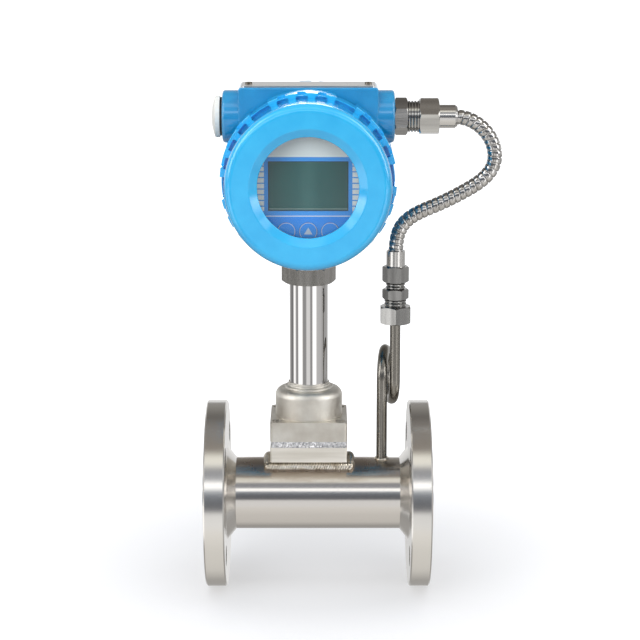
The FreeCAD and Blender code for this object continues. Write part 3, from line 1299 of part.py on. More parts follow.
def build():
    """Write every node."""
    os.makedirs("parts", exist_ok=True)
    inlet = inlet_flange()
    save("inlet_flange", inlet)
    save("outlet_flange", inlet.mirror(Vector(MID_X, 0, 0), ALONG_X))
    save("meter_tube", meter_tube())
    save("shedder_bar", shedder_bar())
    save("sensor_boss", sensor_boss())
    save("boss_weld", boss_weld())
    save("bonnet_weld", bonnet_weld())
    save("sensor_bonnet", sensor_bonnet())
    save("bonnet_screws", bonnet_screws())
    save("probe_gasket", probe_gasket())
    save("vortex_probe", vortex_probe())
    save("stem_tube", stem_tube())
    save("stem_hex", stem_hex())
    save("sensor_lead", sensor_lead())
    save("head_housing", head_housing())
    save("set_screw", set_screw())
    save("ground_screw_outer", ground_screw_outer())
    save("ground_screw_inner", ground_screw_inner())
    save("front_cover", front_cover())
    save("rear_cover", rear_cover())
    seal = cover_seal()
    save("front_cover_seal", seal)
    save("rear_cover_seal", to_rear(seal))
    save("cover_window", rod_y(GLASS_OD, -GLASS_FRONT, -GLASS_BACK, STEM_X, HEAD_Z))
    save("window_gasket", flat_ring_y(GLASS_OD, APERTURE_D + EPS, -LIP_BACK, -GLASS_FRONT))
    save("window_retainer", window_retainer())
    save("face_panel", face_panel())
    save("lcd_module", lcd_module())
    for name, x in zip(("key_left", "key_up", "key_right"), key_places()):
        save(name, key(x))
    save("display_board", display_board())
    save("main_board", main_board())
    save("board_pillars", board_pillars())
    save("board_screws", board_screws())
    save("terminal_block", terminal_block())
    save("terminal_screws", terminal_screws())
    save("nameplate", nameplate())
    save("nameplate_screws", nameplate_screws())
    save("blanking_plug", blanking_plug())
    save("plug_seal", plug_seal())
    save("gland_body", gland_body())
    save("gland_nut", gland_nut())
    save("upper_ferrule", upper_ferrule())
    save("flex_conduit", flex_conduit())
    save("lower_ferrule", lower_ferrule())
    save("pressure_sensor_body", pressure_sensor_body())
    save("sensor_top_nut", sensor_top_nut())
    save("sensor_bottom_nut", sensor_bottom_nut())
    save("siphon_tube", siphon_tube())
    save("siphon_weld", siphon_weld())


build()
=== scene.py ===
"""Looks for a flanged vortex flow meter with a display head, a hose and a siphon.

Metres, in the row frame: the origin is the centre of the inlet flange's raised
face, +X runs with the flow, +Z up the stem, and the display looks along -Y.
"""

import math
import random

import bpy
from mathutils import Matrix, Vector


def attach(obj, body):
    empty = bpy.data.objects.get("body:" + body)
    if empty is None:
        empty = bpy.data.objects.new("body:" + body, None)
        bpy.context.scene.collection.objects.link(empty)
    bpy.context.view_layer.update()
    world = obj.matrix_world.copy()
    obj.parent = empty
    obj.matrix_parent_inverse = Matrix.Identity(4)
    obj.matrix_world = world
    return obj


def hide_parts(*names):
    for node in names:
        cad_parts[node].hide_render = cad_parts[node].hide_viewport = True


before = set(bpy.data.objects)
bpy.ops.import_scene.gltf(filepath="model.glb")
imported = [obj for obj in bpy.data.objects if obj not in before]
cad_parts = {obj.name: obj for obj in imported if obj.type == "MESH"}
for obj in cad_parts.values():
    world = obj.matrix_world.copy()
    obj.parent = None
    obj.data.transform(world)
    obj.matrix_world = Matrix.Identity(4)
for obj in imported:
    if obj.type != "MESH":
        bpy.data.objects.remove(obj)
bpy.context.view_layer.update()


# Flanges: two weld-neck rings of stainless steel, faced and turned on a lathe. Fine marks
# of the tool run round rims, faces and necks, and leave them a bright satin.
PIPE_MIDDLE = (0.0, 0.0, 0.0)
FLANGE_COLOUR = (0.69, 0.67, 0.64, 1.0)
FLANGE_ROUGHNESS = 0.19
FLANGE_LINES_PER_METRE = 2600.0


def place_node(tree, kind, inputs=None, **settings):
    """Add a shader node, with values or sockets on its inputs."""
    node = tree.nodes.new(kind)
    for name, value in settings.items():
        setattr(node, name, value)
    for name, value in (inputs or {}).items():
        if isinstance(value, bpy.types.NodeSocket):
            tree.links.new(value, node.inputs[name])
        else:
            node.inputs[name].default_value = value
    return node


def compute(tree, operation, *values):
    """One sum on sockets or numbers, as a Math node's output."""
    node = place_node(tree, "ShaderNodeMath", dict(enumerate(values)), operation=operation)
    return node.outputs[0]


def new_effect(name, inputs, outputs):
    """An empty shader node group with named sockets, and its two end nodes."""
    group = bpy.data.node_groups.new(name, "ShaderNodeTree")
    for label, kind, value in inputs:
        socket = group.interface.new_socket(label, in_out="INPUT", socket_type=kind)
        if value is not None:
            socket.default_value = value
    for label, kind in outputs:
        group.interface.new_socket(label, in_out="OUTPUT", socket_type=kind)
    return group, group.nodes.new("NodeGroupInput"), group.nodes.new("NodeGroupOutput")


def use_effect(tree, group, **inputs):
    """Place a node group in a material; input names take an underscore for a space."""
    node = tree.nodes.new("ShaderNodeGroup")
    node.node_tree = group
    for name, value in inputs.items():
        socket = node.inputs[name.replace("_", " ")]
        if isinstance(value, bpy.types.NodeSocket):
            tree.links.new(value, socket)
        else:
            socket.default_value = value
    return node.outputs


def new_material(name, colour, roughness, metallic=1.0, **settings):
    """A material with one Principled shader, and its tree and shader."""
    material = bpy.data.materials.new(name)
    material.use_nodes = True
    shader = material.node_tree.nodes["Principled BSDF"]
    shader.inputs["Base Color"].default_value = colour
    shader.inputs["Roughness"].default_value = roughness
    shader.inputs["Metallic"].default_value = metallic
    for label, value in settings.items():
        shader.inputs[label.replace("_", " ")].default_value = value
    return material, material.node_tree, shader


def dress(material, *names):
    """Give CAD nodes a material."""
    for name in names:
        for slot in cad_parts[name].material_slots:
            slot.material = material


ALONG_X = (0.0, math.radians(90), 0.0)
UPRIGHT = (0.0, 0.0, 0.0)


def place_from(tree, centre, turn=UPRIGHT):
    """Object coordinates from a centre, turned so that an axis lies along Z."""
    where = place_node(tree, "ShaderNodeTexCoord").outputs["Object"]
    moved = place_node(tree, "ShaderNodeVectorMath", {0: where, 1: centre}, operation="SUBTRACT")
    turned = place_node(tree, "ShaderNodeMapping", {"Vector": moved.outputs[0], "Rotation": turn})
    return turned.outputs["Vector"]


# The lathe's marks: lines round an axis along Z, from noise that changes along the axis
# and the radius, and hardly round it.
lathe_marks, marks_in, marks_out = new_effect(
    "lathe marks",
    [("Place", "NodeSocketVector", None), ("Lines per metre", "NodeSocketFloat", 1500.0),
     ("Depth", "NodeSocketFloat", 0.1)],
    [("Mark", "NodeSocketFloat"), ("Normal", "NodeSocketVector")])
parts = place_node(lathe_marks, "ShaderNodeSeparateXYZ", {0: marks_in.outputs["Place"]}).outputs
radius = compute(lathe_marks, "SQRT", compute(
    lathe_marks, "ADD", compute(lathe_marks, "MULTIPLY", parts[0], parts[0]),
    compute(lathe_marks, "MULTIPLY", parts[1], parts[1])))
angle = compute(lathe_marks, "ARCTAN2", parts[1], parts[0])
lines = marks_in.outputs["Lines per metre"]
stretched = place_node(lathe_marks, "ShaderNodeCombineXYZ", {
    0: compute(lathe_marks, "MULTIPLY", parts[2], lines),
    1: compute(lathe_marks, "MULTIPLY", radius, lines),
    2: compute(lathe_marks, "MULTIPLY", angle, 3.0)})
noise = place_node(lathe_marks, "ShaderNodeTexNoise", {
    "Vector": stretched.outputs[0], "Scale": 1.0, "Detail": 3.0, "Roughness": 0.6})
bump = place_node(lathe_marks, "ShaderNodeBump", {
    "Height": noise.outputs["Fac"], "Strength": marks_in.outputs["Depth"], "Distance": 0.0003})
lathe_marks.links.new(noise.outputs["Fac"], marks_out.inputs["Mark"])
lathe_marks.links.new(bump.outputs["Normal"], marks_out.inputs["Normal"])


def turned_steel(name, centre, turn, colour, roughness, lines_per_metre, depth, spread):
    """Steel turned about an axis: marks that change its roughness and its normal."""
    material, tree, shader = new_material(name, colour, roughness)
    marks = use_effect(tree, lathe_marks, Place=place_from(tree, centre, turn),
                       Lines_per_metre=lines_per_metre, Depth=depth)
    uneven = compute(tree, "MULTIPLY_ADD", marks["Mark"], spread, roughness - spread / 2)
    tree.links.new(uneven, shader.inputs["Roughness"])
    tree.links.new(marks["Normal"], shader.inputs["Normal"])
    return material, tree, shader


flange_steel, _, _ = turned_steel(
    "turned flange steel", PIPE_MIDDLE, ALONG_X, FLANGE_COLOUR, FLANGE_ROUGHNESS,
    FLANGE_LINES_PER_METRE, depth=0.05, spread=0.08)
dress(flange_steel, "inlet_flange", "outlet_flange")


# Meter tube: a polished length of stainless pipe welded between the hubs. The heat of
# the seat's weld has dulled its top and left brown and straw tints there. The tint is drawn
# out along the pipe's top as a painted dark reflection of the head's shaded underside.
STEEL_COLOUR = (0.60, 0.575, 0.548, 1.0)
TUBE_ROUGHNESS = 0.16
TUBE_LINES_PER_METRE = 900.0
STEM_X = 0.092
SEAT_MIDDLE = (STEM_X, 0.0, 0.0)
BEAD_HALF_LENGTH = 0.036
BEAD_LINE_Y = 0.0170
TINT_REACH = 0.011
TINT_STRETCH = 0.22
TINT_DULLING = 0.16


def ramp(tree, value, stops):
    """A Color Ramp's output for (position, grey or colour) stops."""
    node = place_node(tree, "ShaderNodeValToRGB", {"Fac": value})
    elements = node.color_ramp.elements
    while len(elements) > 1:
        elements.remove(elements[0])
    for i, (position, tone) in enumerate(stops):
        stop = elements[0] if i == 0 else elements.new(position)
        stop.position = position
        stop.color = (*tone, 1.0) if isinstance(tone, tuple) else (tone, tone, tone, 1.0)
    return node.outputs["Color"]


def mix_colour(tree, share, first, second, blend="MIX"):
    """A colour mix, of sockets or colours."""
    node = place_node(tree, "ShaderNodeMix", data_type="RGBA", blend_type=blend)
    for socket, value in zip((node.inputs[0], node.inputs[6], node.inputs[7]),
                             (share, first, second)):
        if isinstance(value, bpy.types.NodeSocket):
            tree.links.new(value, socket)
        else:
            socket.default_value = value
    return node.outputs[2]


tube_steel, tree, shader = turned_steel(
    "polished tube steel", PIPE_MIDDLE, ALONG_X, STEEL_COLOUR, TUBE_ROUGHNESS,
    TUBE_LINES_PER_METRE, depth=0.05, spread=0.07)

# Heat tint and painted reflection: how near a place lies to the bead's rectangle, as a
# mask that fades out and is broken up by noise, with a colour from straw at its edge to
# brown near the bead.
heat_tint, heat_in, heat_out = new_effect(
    "heat tint and painted reflection",
    [("Place", "NodeSocketVector", None), ("Half length", "NodeSocketFloat", BEAD_HALF_LENGTH),
     ("Half width", "NodeSocketFloat", BEAD_LINE_Y), ("Reach", "NodeSocketFloat", TINT_REACH)],
    [("Tint", "NodeSocketColor"), ("Share", "NodeSocketFloat")])
heat_parts = place_node(heat_tint, "ShaderNodeSeparateXYZ", {0: heat_in.outputs["Place"]}).outputs
beyond = []
for i, label in ((0, "Half length"), (1, "Half width")):
    over = compute(heat_tint, "SUBTRACT", compute(heat_tint, "ABSOLUTE", heat_parts[i]),
                   heat_in.outputs[label])
    beyond.append(compute(heat_tint, "MAXIMUM", over, 0.0))
away = compute(heat_tint, "SQRT", compute(
    heat_tint, "ADD", compute(heat_tint, "MULTIPLY", beyond[0], beyond[0]),
    compute(heat_tint, "MULTIPLY", beyond[1], beyond[1])))
blotch = place_node(heat_tint, "ShaderNodeTexNoise", {
    "Vector": heat_in.outputs["Place"], "Scale": 260.0, "Detail": 3.0}).outputs["Fac"]
nearness = compute(heat_tint, "SUBTRACT", 1.0, compute(
    heat_tint, "DIVIDE", away, heat_in.outputs["Reach"]))
nearness = compute(heat_tint, "ADD", nearness, compute(
    heat_tint, "MULTIPLY_ADD", blotch, 0.7, -0.38))
above = compute(heat_tint, "GREATER_THAN", heat_parts[2], 0.0)
tint_share = compute(heat_tint, "MULTIPLY", above, compute(
    heat_tint, "MINIMUM", compute(heat_tint, "MAXIMUM", nearness, 0.0), 1.0))
tint_colour = ramp(heat_tint, nearness, [
    (0.0, (0.52, 0.46, 0.39)), (0.35, (0.38, 0.30, 0.22)), (0.75, (0.30, 0.23, 0.18)),
    (1.0, (0.36, 0.31, 0.27))])
heat_tint.links.new(tint_colour, heat_out.inputs["Tint"])
heat_tint.links.new(tint_share, heat_out.inputs["Share"])

# Painted reflection: the place is squeezed along the pipe, so the brown reaches along the tube's
# top where it would mirror the head's shaded underside.
drawn_out = place_node(tree, "ShaderNodeMapping", {
    "Vector": place_from(tree, SEAT_MIDDLE), "Scale": (TINT_STRETCH, 1.0, 1.0)}).outputs[0]
heat = use_effect(tree, heat_tint, Place=drawn_out, Half_length=BEAD_HALF_LENGTH * TINT_STRETCH,
                  Half_width=BEAD_LINE_Y, Reach=TINT_REACH)
tree.links.new(mix_colour(tree, heat["Share"], STEEL_COLOUR, heat["Tint"]),
               shader.inputs["Base Color"])
polish = shader.inputs["Roughness"].links[0].from_socket
tree.links.new(compute(tree, "MULTIPLY_ADD", heat["Share"], TINT_DULLING, polish),
               shader.inputs["Roughness"])
dress(tube_steel, "meter_tube")


# Shedder bar and probe: machined stainless pieces in the bore, seen only from the ends.
# The graphite ring under the probe's head is pressed flat between it and the seat.
probe_steel, tree, shader = new_material(
    "milled probe steel", (0.52, 0.51, 0.50, 1.0), roughness=0.32)
milling = place_node(tree, "ShaderNodeTexNoise", {
    "Vector": place_node(tree, "ShaderNodeMapping", {
        "Vector": place_from(tree, SEAT_MIDDLE), "Scale": (900.0, 900.0, 40.0)}).outputs[0],
    "Scale": 1.0})
tree.links.new(compute(tree, "MULTIPLY_ADD", milling.outputs["Fac"], 0.2, 0.22),
               shader.inputs["Roughness"])
dress(probe_steel, "shedder_bar", "vortex_probe")

graphite, tree, shader = new_material(
    "pressed graphite", (0.05, 0.05, 0.055, 1.0), roughness=0.6, metallic=0.2)
flakes = place_node(tree, "ShaderNodeTexNoise", {
    "Vector": place_from(tree, SEAT_MIDDLE), "Scale": 1500.0})
tree.links.new(ramp(tree, flakes.outputs["Fac"], [(0.3, 0.03), (0.7, 0.09)]),
               shader.inputs["Base Color"])
dress(graphite, "probe_gasket")


# Seat: a square block of stainless bar, saw-cut and ground along its length, welded to
# the tube through a foot. The weld's heat has left it slightly yellow in patches.
SEAT_FOOT_Z = 0.0369

# Ground grain: short lines along one axis. The place is scaled before it comes in, long
# in the direction of the grain.
ground_grain, grain_in, grain_out = new_effect(
    "ground grain",
    [("Place", "NodeSocketVector", None), ("Depth", "NodeSocketFloat", 0.1)],
    [("Grain", "NodeSocketFloat"), ("Patch", "NodeSocketFloat"), ("Normal", "NodeSocketVector")])
fine = place_node(ground_grain, "ShaderNodeTexNoise", {
    "Vector": grain_in.outputs["Place"], "Scale": 1.0, "Detail": 4.0, "Roughness": 0.65})
wide = place_node(ground_grain, "ShaderNodeTexNoise", {
    "Vector": grain_in.outputs["Place"], "Scale": 0.12, "Detail": 2.0})
grain_bump = place_node(ground_grain, "ShaderNodeBump", {
    "Height": fine.outputs["Fac"], "Strength": grain_in.outputs["Depth"], "Distance": 0.0004})
for label, socket in (("Grain", fine.outputs["Fac"]), ("Patch", wide.outputs["Fac"]),
                      ("Normal", grain_bump.outputs["Normal"])):
    ground_grain.links.new(socket, grain_out.inputs[label])


def ground_steel(name, centre, scale, dark, light, roughness, depth, spread=0.25):
    """Ground or milled steel: grain that changes colour, roughness and normal."""
    material, tree, shader = new_material(name, (*light, 1.0), roughness)
    place = place_node(tree, "ShaderNodeMapping", {
        "Vector": place_from(tree, centre), "Scale": scale}).outputs[0]
    grain = use_effect(tree, ground_grain, Place=place, Depth=depth)
    tree.links.new(ramp(tree, grain["Patch"], [(0.3, dark), (0.7, light)]),
                   shader.inputs["Base Color"])
    tree.links.new(compute(tree, "MULTIPLY_ADD", grain["Grain"], spread, roughness - spread / 2),
                   shader.inputs["Roughness"])
    tree.links.new(grain["Normal"], shader.inputs["Normal"])
    return material


seat_steel = ground_steel(
    "ground seat steel", (STEM_X, 0.0, SEAT_FOOT_Z), scale=(120.0, 120.0, 1400.0),
    dark=(0.76, 0.72, 0.64), light=(0.98, 0.94, 0.87), roughness=0.34, depth=0.25)
dress(seat_steel, "sensor_boss")


# Weld round the seat's foot: one hand-laid bead of overlapping scales, straw and brown
# from its own heat, with painted shade in the creases between its scales. It runs straight
# along the seat's two long sides, and rides over the pipe at the two ends, where it is
# thinner and lies lower.
WELD_BEAD_R = 0.0042
WELD_RIDE_R = 0.0335
WELD_HALF_LENGTH = 0.0357
WELD_SIDE_Z = 0.0289
WELD_END_SINK = 0.0022
WELD_END_BULGE = 0.0014
WELD_END_SLIM = 0.25
WELD_SCALE_PITCH = 0.0022
WELD_SCALE_DEPTH = 0.0012
WELD_SCALE_BOW = 0.85
WELD_SCALE_WANDER = 1.5
WELD_SIZE_WANDER = 0.12
WELD_STEP = 0.00035
WELD_ARC_STEPS = 24
WELD_SECTION_POINTS = 20
WELD_AIM_SPAN = 3
WELD_WANDER_SPAN = 12


def evenly(points, step):
    """Points a step apart along a closed line through the given points."""
    loop = points + points[:1]
    lengths = [(b - a).length for a, b in zip(loop, loop[1:])]
    count = int(sum(lengths) / step)
    spacing = sum(lengths) / count
    spots = []
    i, passed = 0, 0.0
    for n in range(count):
        target = n * spacing
        while passed + lengths[i] < target:
            passed += lengths[i]
            i += 1
        spots.append(loop[i].lerp(loop[i + 1], (target - passed) / lengths[i]))
    return spots, spacing


def mesh_piece(name, corners, faces, material, body, smooth=True):
    """A mesh object with a material, riding on a body."""
    mesh = bpy.data.meshes.new(name)
    mesh.from_pydata([tuple(c) for c in corners], [], faces)
    mesh.update()
    mesh.materials.append(material)
    for polygon in mesh.polygons:
        polygon.use_smooth = smooth
    piece = bpy.data.objects.new(name, mesh)
    bpy.context.collection.objects.link(piece)
    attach(piece, body)
    return piece


def ring_faces(count, around, closed):
    """Quads between rings of points, for a tube that may close on itself."""
    faces = []
    for i in range(count if closed else count - 1):
        here, there = i * around, (i + 1) % count * around
        for j in range(around):
            k = (j + 1) % around
            faces.append((here + j, here + k, there + k, there + j))
    return faces


weld_line = []
for end in (1, -1):
    corner = Vector((SEAT_MIDDLE[0] + end * WELD_HALF_LENGTH, -end * BEAD_LINE_Y, WELD_SIDE_Z))
    weld_line.append(Vector((SEAT_MIDDLE[0] - end * WELD_HALF_LENGTH, -end * BEAD_LINE_Y,
                             WELD_SIDE_Z)))
    half_sweep = math.asin(BEAD_LINE_Y / WELD_RIDE_R)
    for step in range(WELD_ARC_STEPS + 1):
        sweep = half_sweep * (step / (WELD_ARC_STEPS / 2) - 1)
        middle_share = math.cos(sweep / half_sweep * math.pi / 2)
        ride = WELD_RIDE_R - WELD_END_SINK * middle_share
        weld_line.append(Vector((corner.x + end * WELD_END_BULGE * middle_share,
                                 end * ride * math.sin(sweep), ride * math.cos(sweep))))
weld_spots, weld_spacing = evenly(weld_line, WELD_STEP)
weld_dice = random.Random(7)
wander = [weld_dice.uniform(-1.0, 1.0) for _ in weld_spots]
weld_corners = []
weld_creases = []
count = len(weld_spots)
for n, spot in enumerate(weld_spots):
    ahead, behind = weld_spots[(n + WELD_AIM_SPAN) % count], weld_spots[n - WELD_AIM_SPAN]
    forward = (ahead - behind).normalized()
    outward = Vector((0.0, spot.y, spot.z)).normalized()
    side = forward.cross(outward).normalized()
    outward = side.cross(forward)
    drift = sum(wander[(n + k) % count] for k in range(-WELD_WANDER_SPAN, WELD_WANDER_SPAN + 1))
    drift /= 2 * WELD_WANDER_SPAN + 1
    slim = 1 - WELD_END_SLIM * max(0.0, 1 - (spot.y / BEAD_LINE_Y) ** 2)
    for j in range(WELD_SECTION_POINTS):
        turn = 2 * math.pi * j / WELD_SECTION_POINTS
        phase = (n * weld_spacing / WELD_SCALE_PITCH + WELD_SCALE_BOW * math.cos(turn) ** 2
                 + WELD_SCALE_WANDER * drift)
        scale_edge = (phase % 1.0) ** 2
        reach = WELD_BEAD_R * (1 + WELD_SIZE_WANDER * drift) * slim
        reach -= WELD_SCALE_DEPTH * scale_edge
        weld_corners.append(spot + reach * (side * math.cos(turn) + outward * math.sin(turn)))
        # Each point's place across its scale, used later to paint shade into the creases.
        weld_creases.append(scale_edge)

weld_metal, tree, shader = new_material("weld metal", (0.55, 0.48, 0.38, 1.0), roughness=0.26)
weld_place = place_from(tree, SEAT_MIDDLE)
weld_blotch = place_node(tree, "ShaderNodeTexNoise", {
    "Vector": weld_place, "Scale": 120.0, "Detail": 3.0}).outputs["Fac"]
weld_tone = ramp(tree, weld_blotch, [
    (0.30, (0.50, 0.44, 0.36)), (0.48, (0.82, 0.76, 0.66)), (0.62, (0.90, 0.87, 0.81)),
    (0.75, (0.60, 0.53, 0.44))])
# Painted shade: the colour darkens towards each scale's edge, in the crease under the next scale.
crease = place_node(tree, "ShaderNodeAttribute", attribute_name="crease").outputs["Fac"]
crease_tone = ramp(tree, crease, [(0.0, 1.0), (0.45, 0.78), (0.80, 0.24), (1.0, 0.12)])
tree.links.new(mix_colour(tree, 1.0, weld_tone, crease_tone, "MULTIPLY"),
               shader.inputs["Base Color"])
weld_fine = place_node(tree, "ShaderNodeTexNoise", {"Vector": weld_place, "Scale": 1800.0})
weld_bump = place_node(tree, "ShaderNodeBump", {
    "Height": weld_fine.outputs["Fac"], "Strength": 0.3, "Distance": 0.0002})
tree.links.new(weld_bump.outputs["Normal"], shader.inputs["Normal"])

seat_bead = mesh_piece("seat_weld_bead", weld_corners,
                       ring_faces(count, WELD_SECTION_POINTS, True), weld_metal, "meter")
seat_bead.data.attributes.new("crease", "FLOAT", "POINT").data.foreach_set(
    "value", weld_creases)
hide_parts("boss_weld")


# Seam between seat and bonnet: a filled and hammered joint of bright, crinkled metal, laid
# as one strip round the four sides. Its two edges are straighter than its middle.
SEAM_HALF_LENGTH = 0.0331
SEAM_HALF_WIDTH = 0.0316
SEAM_LOW_Z = 0.0499
SEAM_HIGH_Z = 0.0553
SEAM_CORNER_R = 0.0015
SEAM_STEP = 0.0006
SEAM_ROWS = 7
SEAM_CRINKLE = 0.0004
SEAM_EDGE_CRINKLE = 0.3
SEAM_LIFT = 0.0003
SEAM_CORNER_STEPS = 4
SEAM_INNER = 0.85

seam_outline = []
for end_x, end_y in ((1, -1), (1, 1), (-1, 1), (-1, -1)):
    for step in range(SEAM_CORNER_STEPS + 1):
        first = math.atan2(end_y, end_x) - math.pi / 4
        turn = first + step / SEAM_CORNER_STEPS * math.pi / 2
        seam_outline.append(Vector((
            SEAT_MIDDLE[0] + end_x * (SEAM_HALF_LENGTH - SEAM_CORNER_R)
            + SEAM_CORNER_R * math.cos(turn),
            end_y * (SEAM_HALF_WIDTH - SEAM_CORNER_R) + SEAM_CORNER_R * math.sin(turn), 0.0)))
seam_spots, _ = evenly(seam_outline, SEAM_STEP)
seam_dice = random.Random(23)
seam_corners = []
for spot in seam_spots:
    inward = Vector((SEAT_MIDDLE[0], 0.0, 0.0)) - spot
    for row in range(SEAM_ROWS):
        height = SEAM_LOW_Z + (SEAM_HIGH_Z - SEAM_LOW_Z) * row / (SEAM_ROWS - 1)
        edge = row in (0, SEAM_ROWS - 1)
        dent = SEAM_EDGE_CRINKLE if edge else seam_dice.uniform(-0.4, 1.0)
        lift = 0.0 if edge else seam_dice.uniform(-1.0, 1.0) * SEAM_LIFT
        point = spot + inward.normalized() * (dent * SEAM_CRINKLE)
        seam_corners.append(Vector((point.x, point.y, height + lift)))
    for height in (SEAM_HIGH_Z, SEAM_LOW_Z):
        point = spot + inward * (1 - SEAM_INNER)
        seam_corners.append(Vector((point.x, point.y, height)))

seam_metal, tree, shader = new_material(
    "crinkled seam metal", (0.72, 0.71, 0.72, 1.0), roughness=0.28)
seam_blotch = place_node(tree, "ShaderNodeTexNoise", {
    "Vector": place_from(tree, SEAT_MIDDLE), "Scale": 620.0, "Detail": 3.0}).outputs["Fac"]
tree.links.new(ramp(tree, seam_blotch, [(0.40, (0.46, 0.46, 0.48)), (0.58, (0.78, 0.78, 0.80))]),
               shader.inputs["Base Color"])
seam_strip = mesh_piece("seam_strip", seam_corners,
                        ring_faces(len(seam_spots), SEAM_ROWS + 2, True), seam_metal, "meter",
                        smooth=False)
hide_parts("bonnet_weld")


# Bonnet: an investment casting in stainless steel, shot blasted to a fine warm grey
# skin. Four socket head screws are sunk in its corners, in the plain steel that the small
# screws, pillars and window ring of the head have too.
cast_skin, skin_in, skin_out = new_effect(
    "cast skin",
    [("Place", "NodeSocketVector", None), ("Grains per metre", "NodeSocketFloat", 1500.0),
     ("Depth", "NodeSocketFloat", 0.4)],
    [("Grain", "NodeSocketFloat"), ("Stain", "NodeSocketFloat"), ("Normal", "NodeSocketVector")])
pits = place_node(cast_skin, "ShaderNodeTexNoise", {
    "Vector": skin_in.outputs["Place"], "Scale": skin_in.outputs["Grains per metre"],
    "Detail": 4.0, "Roughness": 0.7})
stain = place_node(cast_skin, "ShaderNodeTexNoise", {
    "Vector": skin_in.outputs["Place"], "Scale": 60.0, "Detail": 4.0})
skin_bump = place_node(cast_skin, "ShaderNodeBump", {
    "Height": pits.outputs["Fac"], "Strength": skin_in.outputs["Depth"], "Distance": 0.0005})
for label, socket in (("Grain", pits.outputs["Fac"]), ("Stain", stain.outputs["Fac"]),
                      ("Normal", skin_bump.outputs["Normal"])):
    cast_skin.links.new(socket, skin_out.inputs[label])

cast_steel, tree, shader = new_material(
    "blasted cast steel", (0.5, 0.47, 0.41, 1.0), roughness=0.42)
skin = use_effect(tree, cast_skin, Place=place_from(tree, SEAT_MIDDLE), Grains_per_metre=1100.0,
                  Depth=0.55)
cast_tone = ramp(tree, skin["Stain"], [
    (0.3, (0.60, 0.56, 0.50)), (0.55, (0.70, 0.67, 0.61)), (0.75, (0.80, 0.78, 0.73))])
tree.links.new(cast_tone, shader.inputs["Base Color"])
tree.links.new(compute(tree, "MULTIPLY_ADD", skin["Grain"], 0.3, 0.28), shader.inputs["Roughness"])
tree.links.new(skin["Normal"], shader.inputs["Normal"])
dress(cast_steel, "sensor_bonnet")

screw_steel = ground_steel(
    "plain screw steel", SEAT_MIDDLE, scale=(500.0, 500.0, 500.0), dark=(0.34, 0.33, 0.32),
    light=(0.50, 0.49, 0.47), roughness=0.34, depth=0.1)
dress(screw_steel, "bonnet_screws", "set_screw", "board_screws", "board_pillars",
      "terminal_screws", "ground_screw_outer", "ground_screw_inner", "window_retainer")


# Stem: a mirror-polished stainless tube, welded into the bonnet and the hexagon. Only
# very faint lines of the polishing belt run up it.
mirror_steel, tree, shader = new_material(
    "mirror steel", (0.60, 0.585, 0.575, 1.0), roughness=0.045)
belt = place_node(tree, "ShaderNodeTexNoise", {
    "Vector": place_node(tree, "ShaderNodeMapping", {
        "Vector": place_from(tree, SEAT_MIDDLE), "Scale": (1500.0, 1500.0, 12.0)}).outputs[0],
    "Scale": 1.0})
tree.links.new(compute(tree, "MULTIPLY_ADD", belt.outputs["Fac"], 0.05, 0.02),
               shader.inputs["Roughness"])
dress(mirror_steel, "stem_tube")


# Hexagon under the head: milled bar, left as it came off the machine, in a duller and
# warmer grey than the tube that it holds, kept dark as painted shade under the head.
HEXAGON_Z = 0.198

# Painted shade: its greys are kept dark for the shadow under the head.
hexagon_steel = ground_steel(
    "milled hexagon steel with painted shade", (STEM_X, 0.0, HEXAGON_Z), scale=(1300.0, 1300.0, 60.0),
    dark=(0.25, 0.24, 0.22), light=(0.37, 0.355, 0.335), roughness=0.26, depth=0.2)
dress(hexagon_steel, "stem_hex")


# The probe's lead: a round cable in a dark grey plastic jacket. It runs from the probe up
# inside the stem, and is hidden once the meter is together.
lead_jacket, tree, shader = new_material(
    "lead jacket", (0.10, 0.10, 0.11, 1.0), roughness=0.5, metallic=0.0)
jacket = place_node(tree, "ShaderNodeTexNoise", {
    "Vector": place_from(tree, SEAT_MIDDLE), "Scale": 900.0})
tree.links.new(ramp(tree, jacket.outputs["Fac"], [(0.3, 0.08), (0.7, 0.13)]),
               shader.inputs["Base Color"])
dress(lead_jacket, "sensor_lead")


# Head: a die-cast light alloy housing and two covers, sprayed with glossy light blue
# enamel that levels a little unevenly over the castings. The housing has a darker copy of
# the covers' enamel, as painted shade for the light that the front cover keeps off it.
HEAD_MIDDLE = (STEM_X, 0.0, 0.2864)
COVER_BLUE = (0.016, 0.490, 0.940)
COVER_PALE = (0.028, 0.550, 0.990)
# Painted shade: the housing's colours are the covers' enamel, darkened.
HOUSING_BLUE = (0.006, 0.275, 0.570)
HOUSING_PALE = (0.012, 0.320, 0.640)


def enamelled(name, thick, thin):
    """Glossy enamel over a casting, from its colours where it lies thick and thin."""
    material, tree, shader = new_material(
        name, (*thick, 1.0), roughness=0.26, metallic=0.0, Coat_Weight=1.0, Coat_Roughness=0.035)
    levelling = use_effect(tree, cast_skin, Place=place_from(tree, HEAD_MIDDLE),
                           Grains_per_metre=190.0, Depth=0.05)
    tree.links.new(ramp(tree, levelling["Stain"], [(0.3, thick), (0.7, thin)]),
                   shader.inputs["Base Color"])
    tree.links.new(compute(tree, "MULTIPLY_ADD", levelling["Grain"], 0.06, 0.20),
                   shader.inputs["Roughness"])
    tree.links.new(levelling["Normal"], shader.inputs["Normal"])
    return material


dress(enamelled("cover enamel", COVER_BLUE, COVER_PALE), "front_cover", "rear_cover")
dress(enamelled("housing enamel with painted shade", HOUSING_BLUE, HOUSING_PALE), "head_housing")


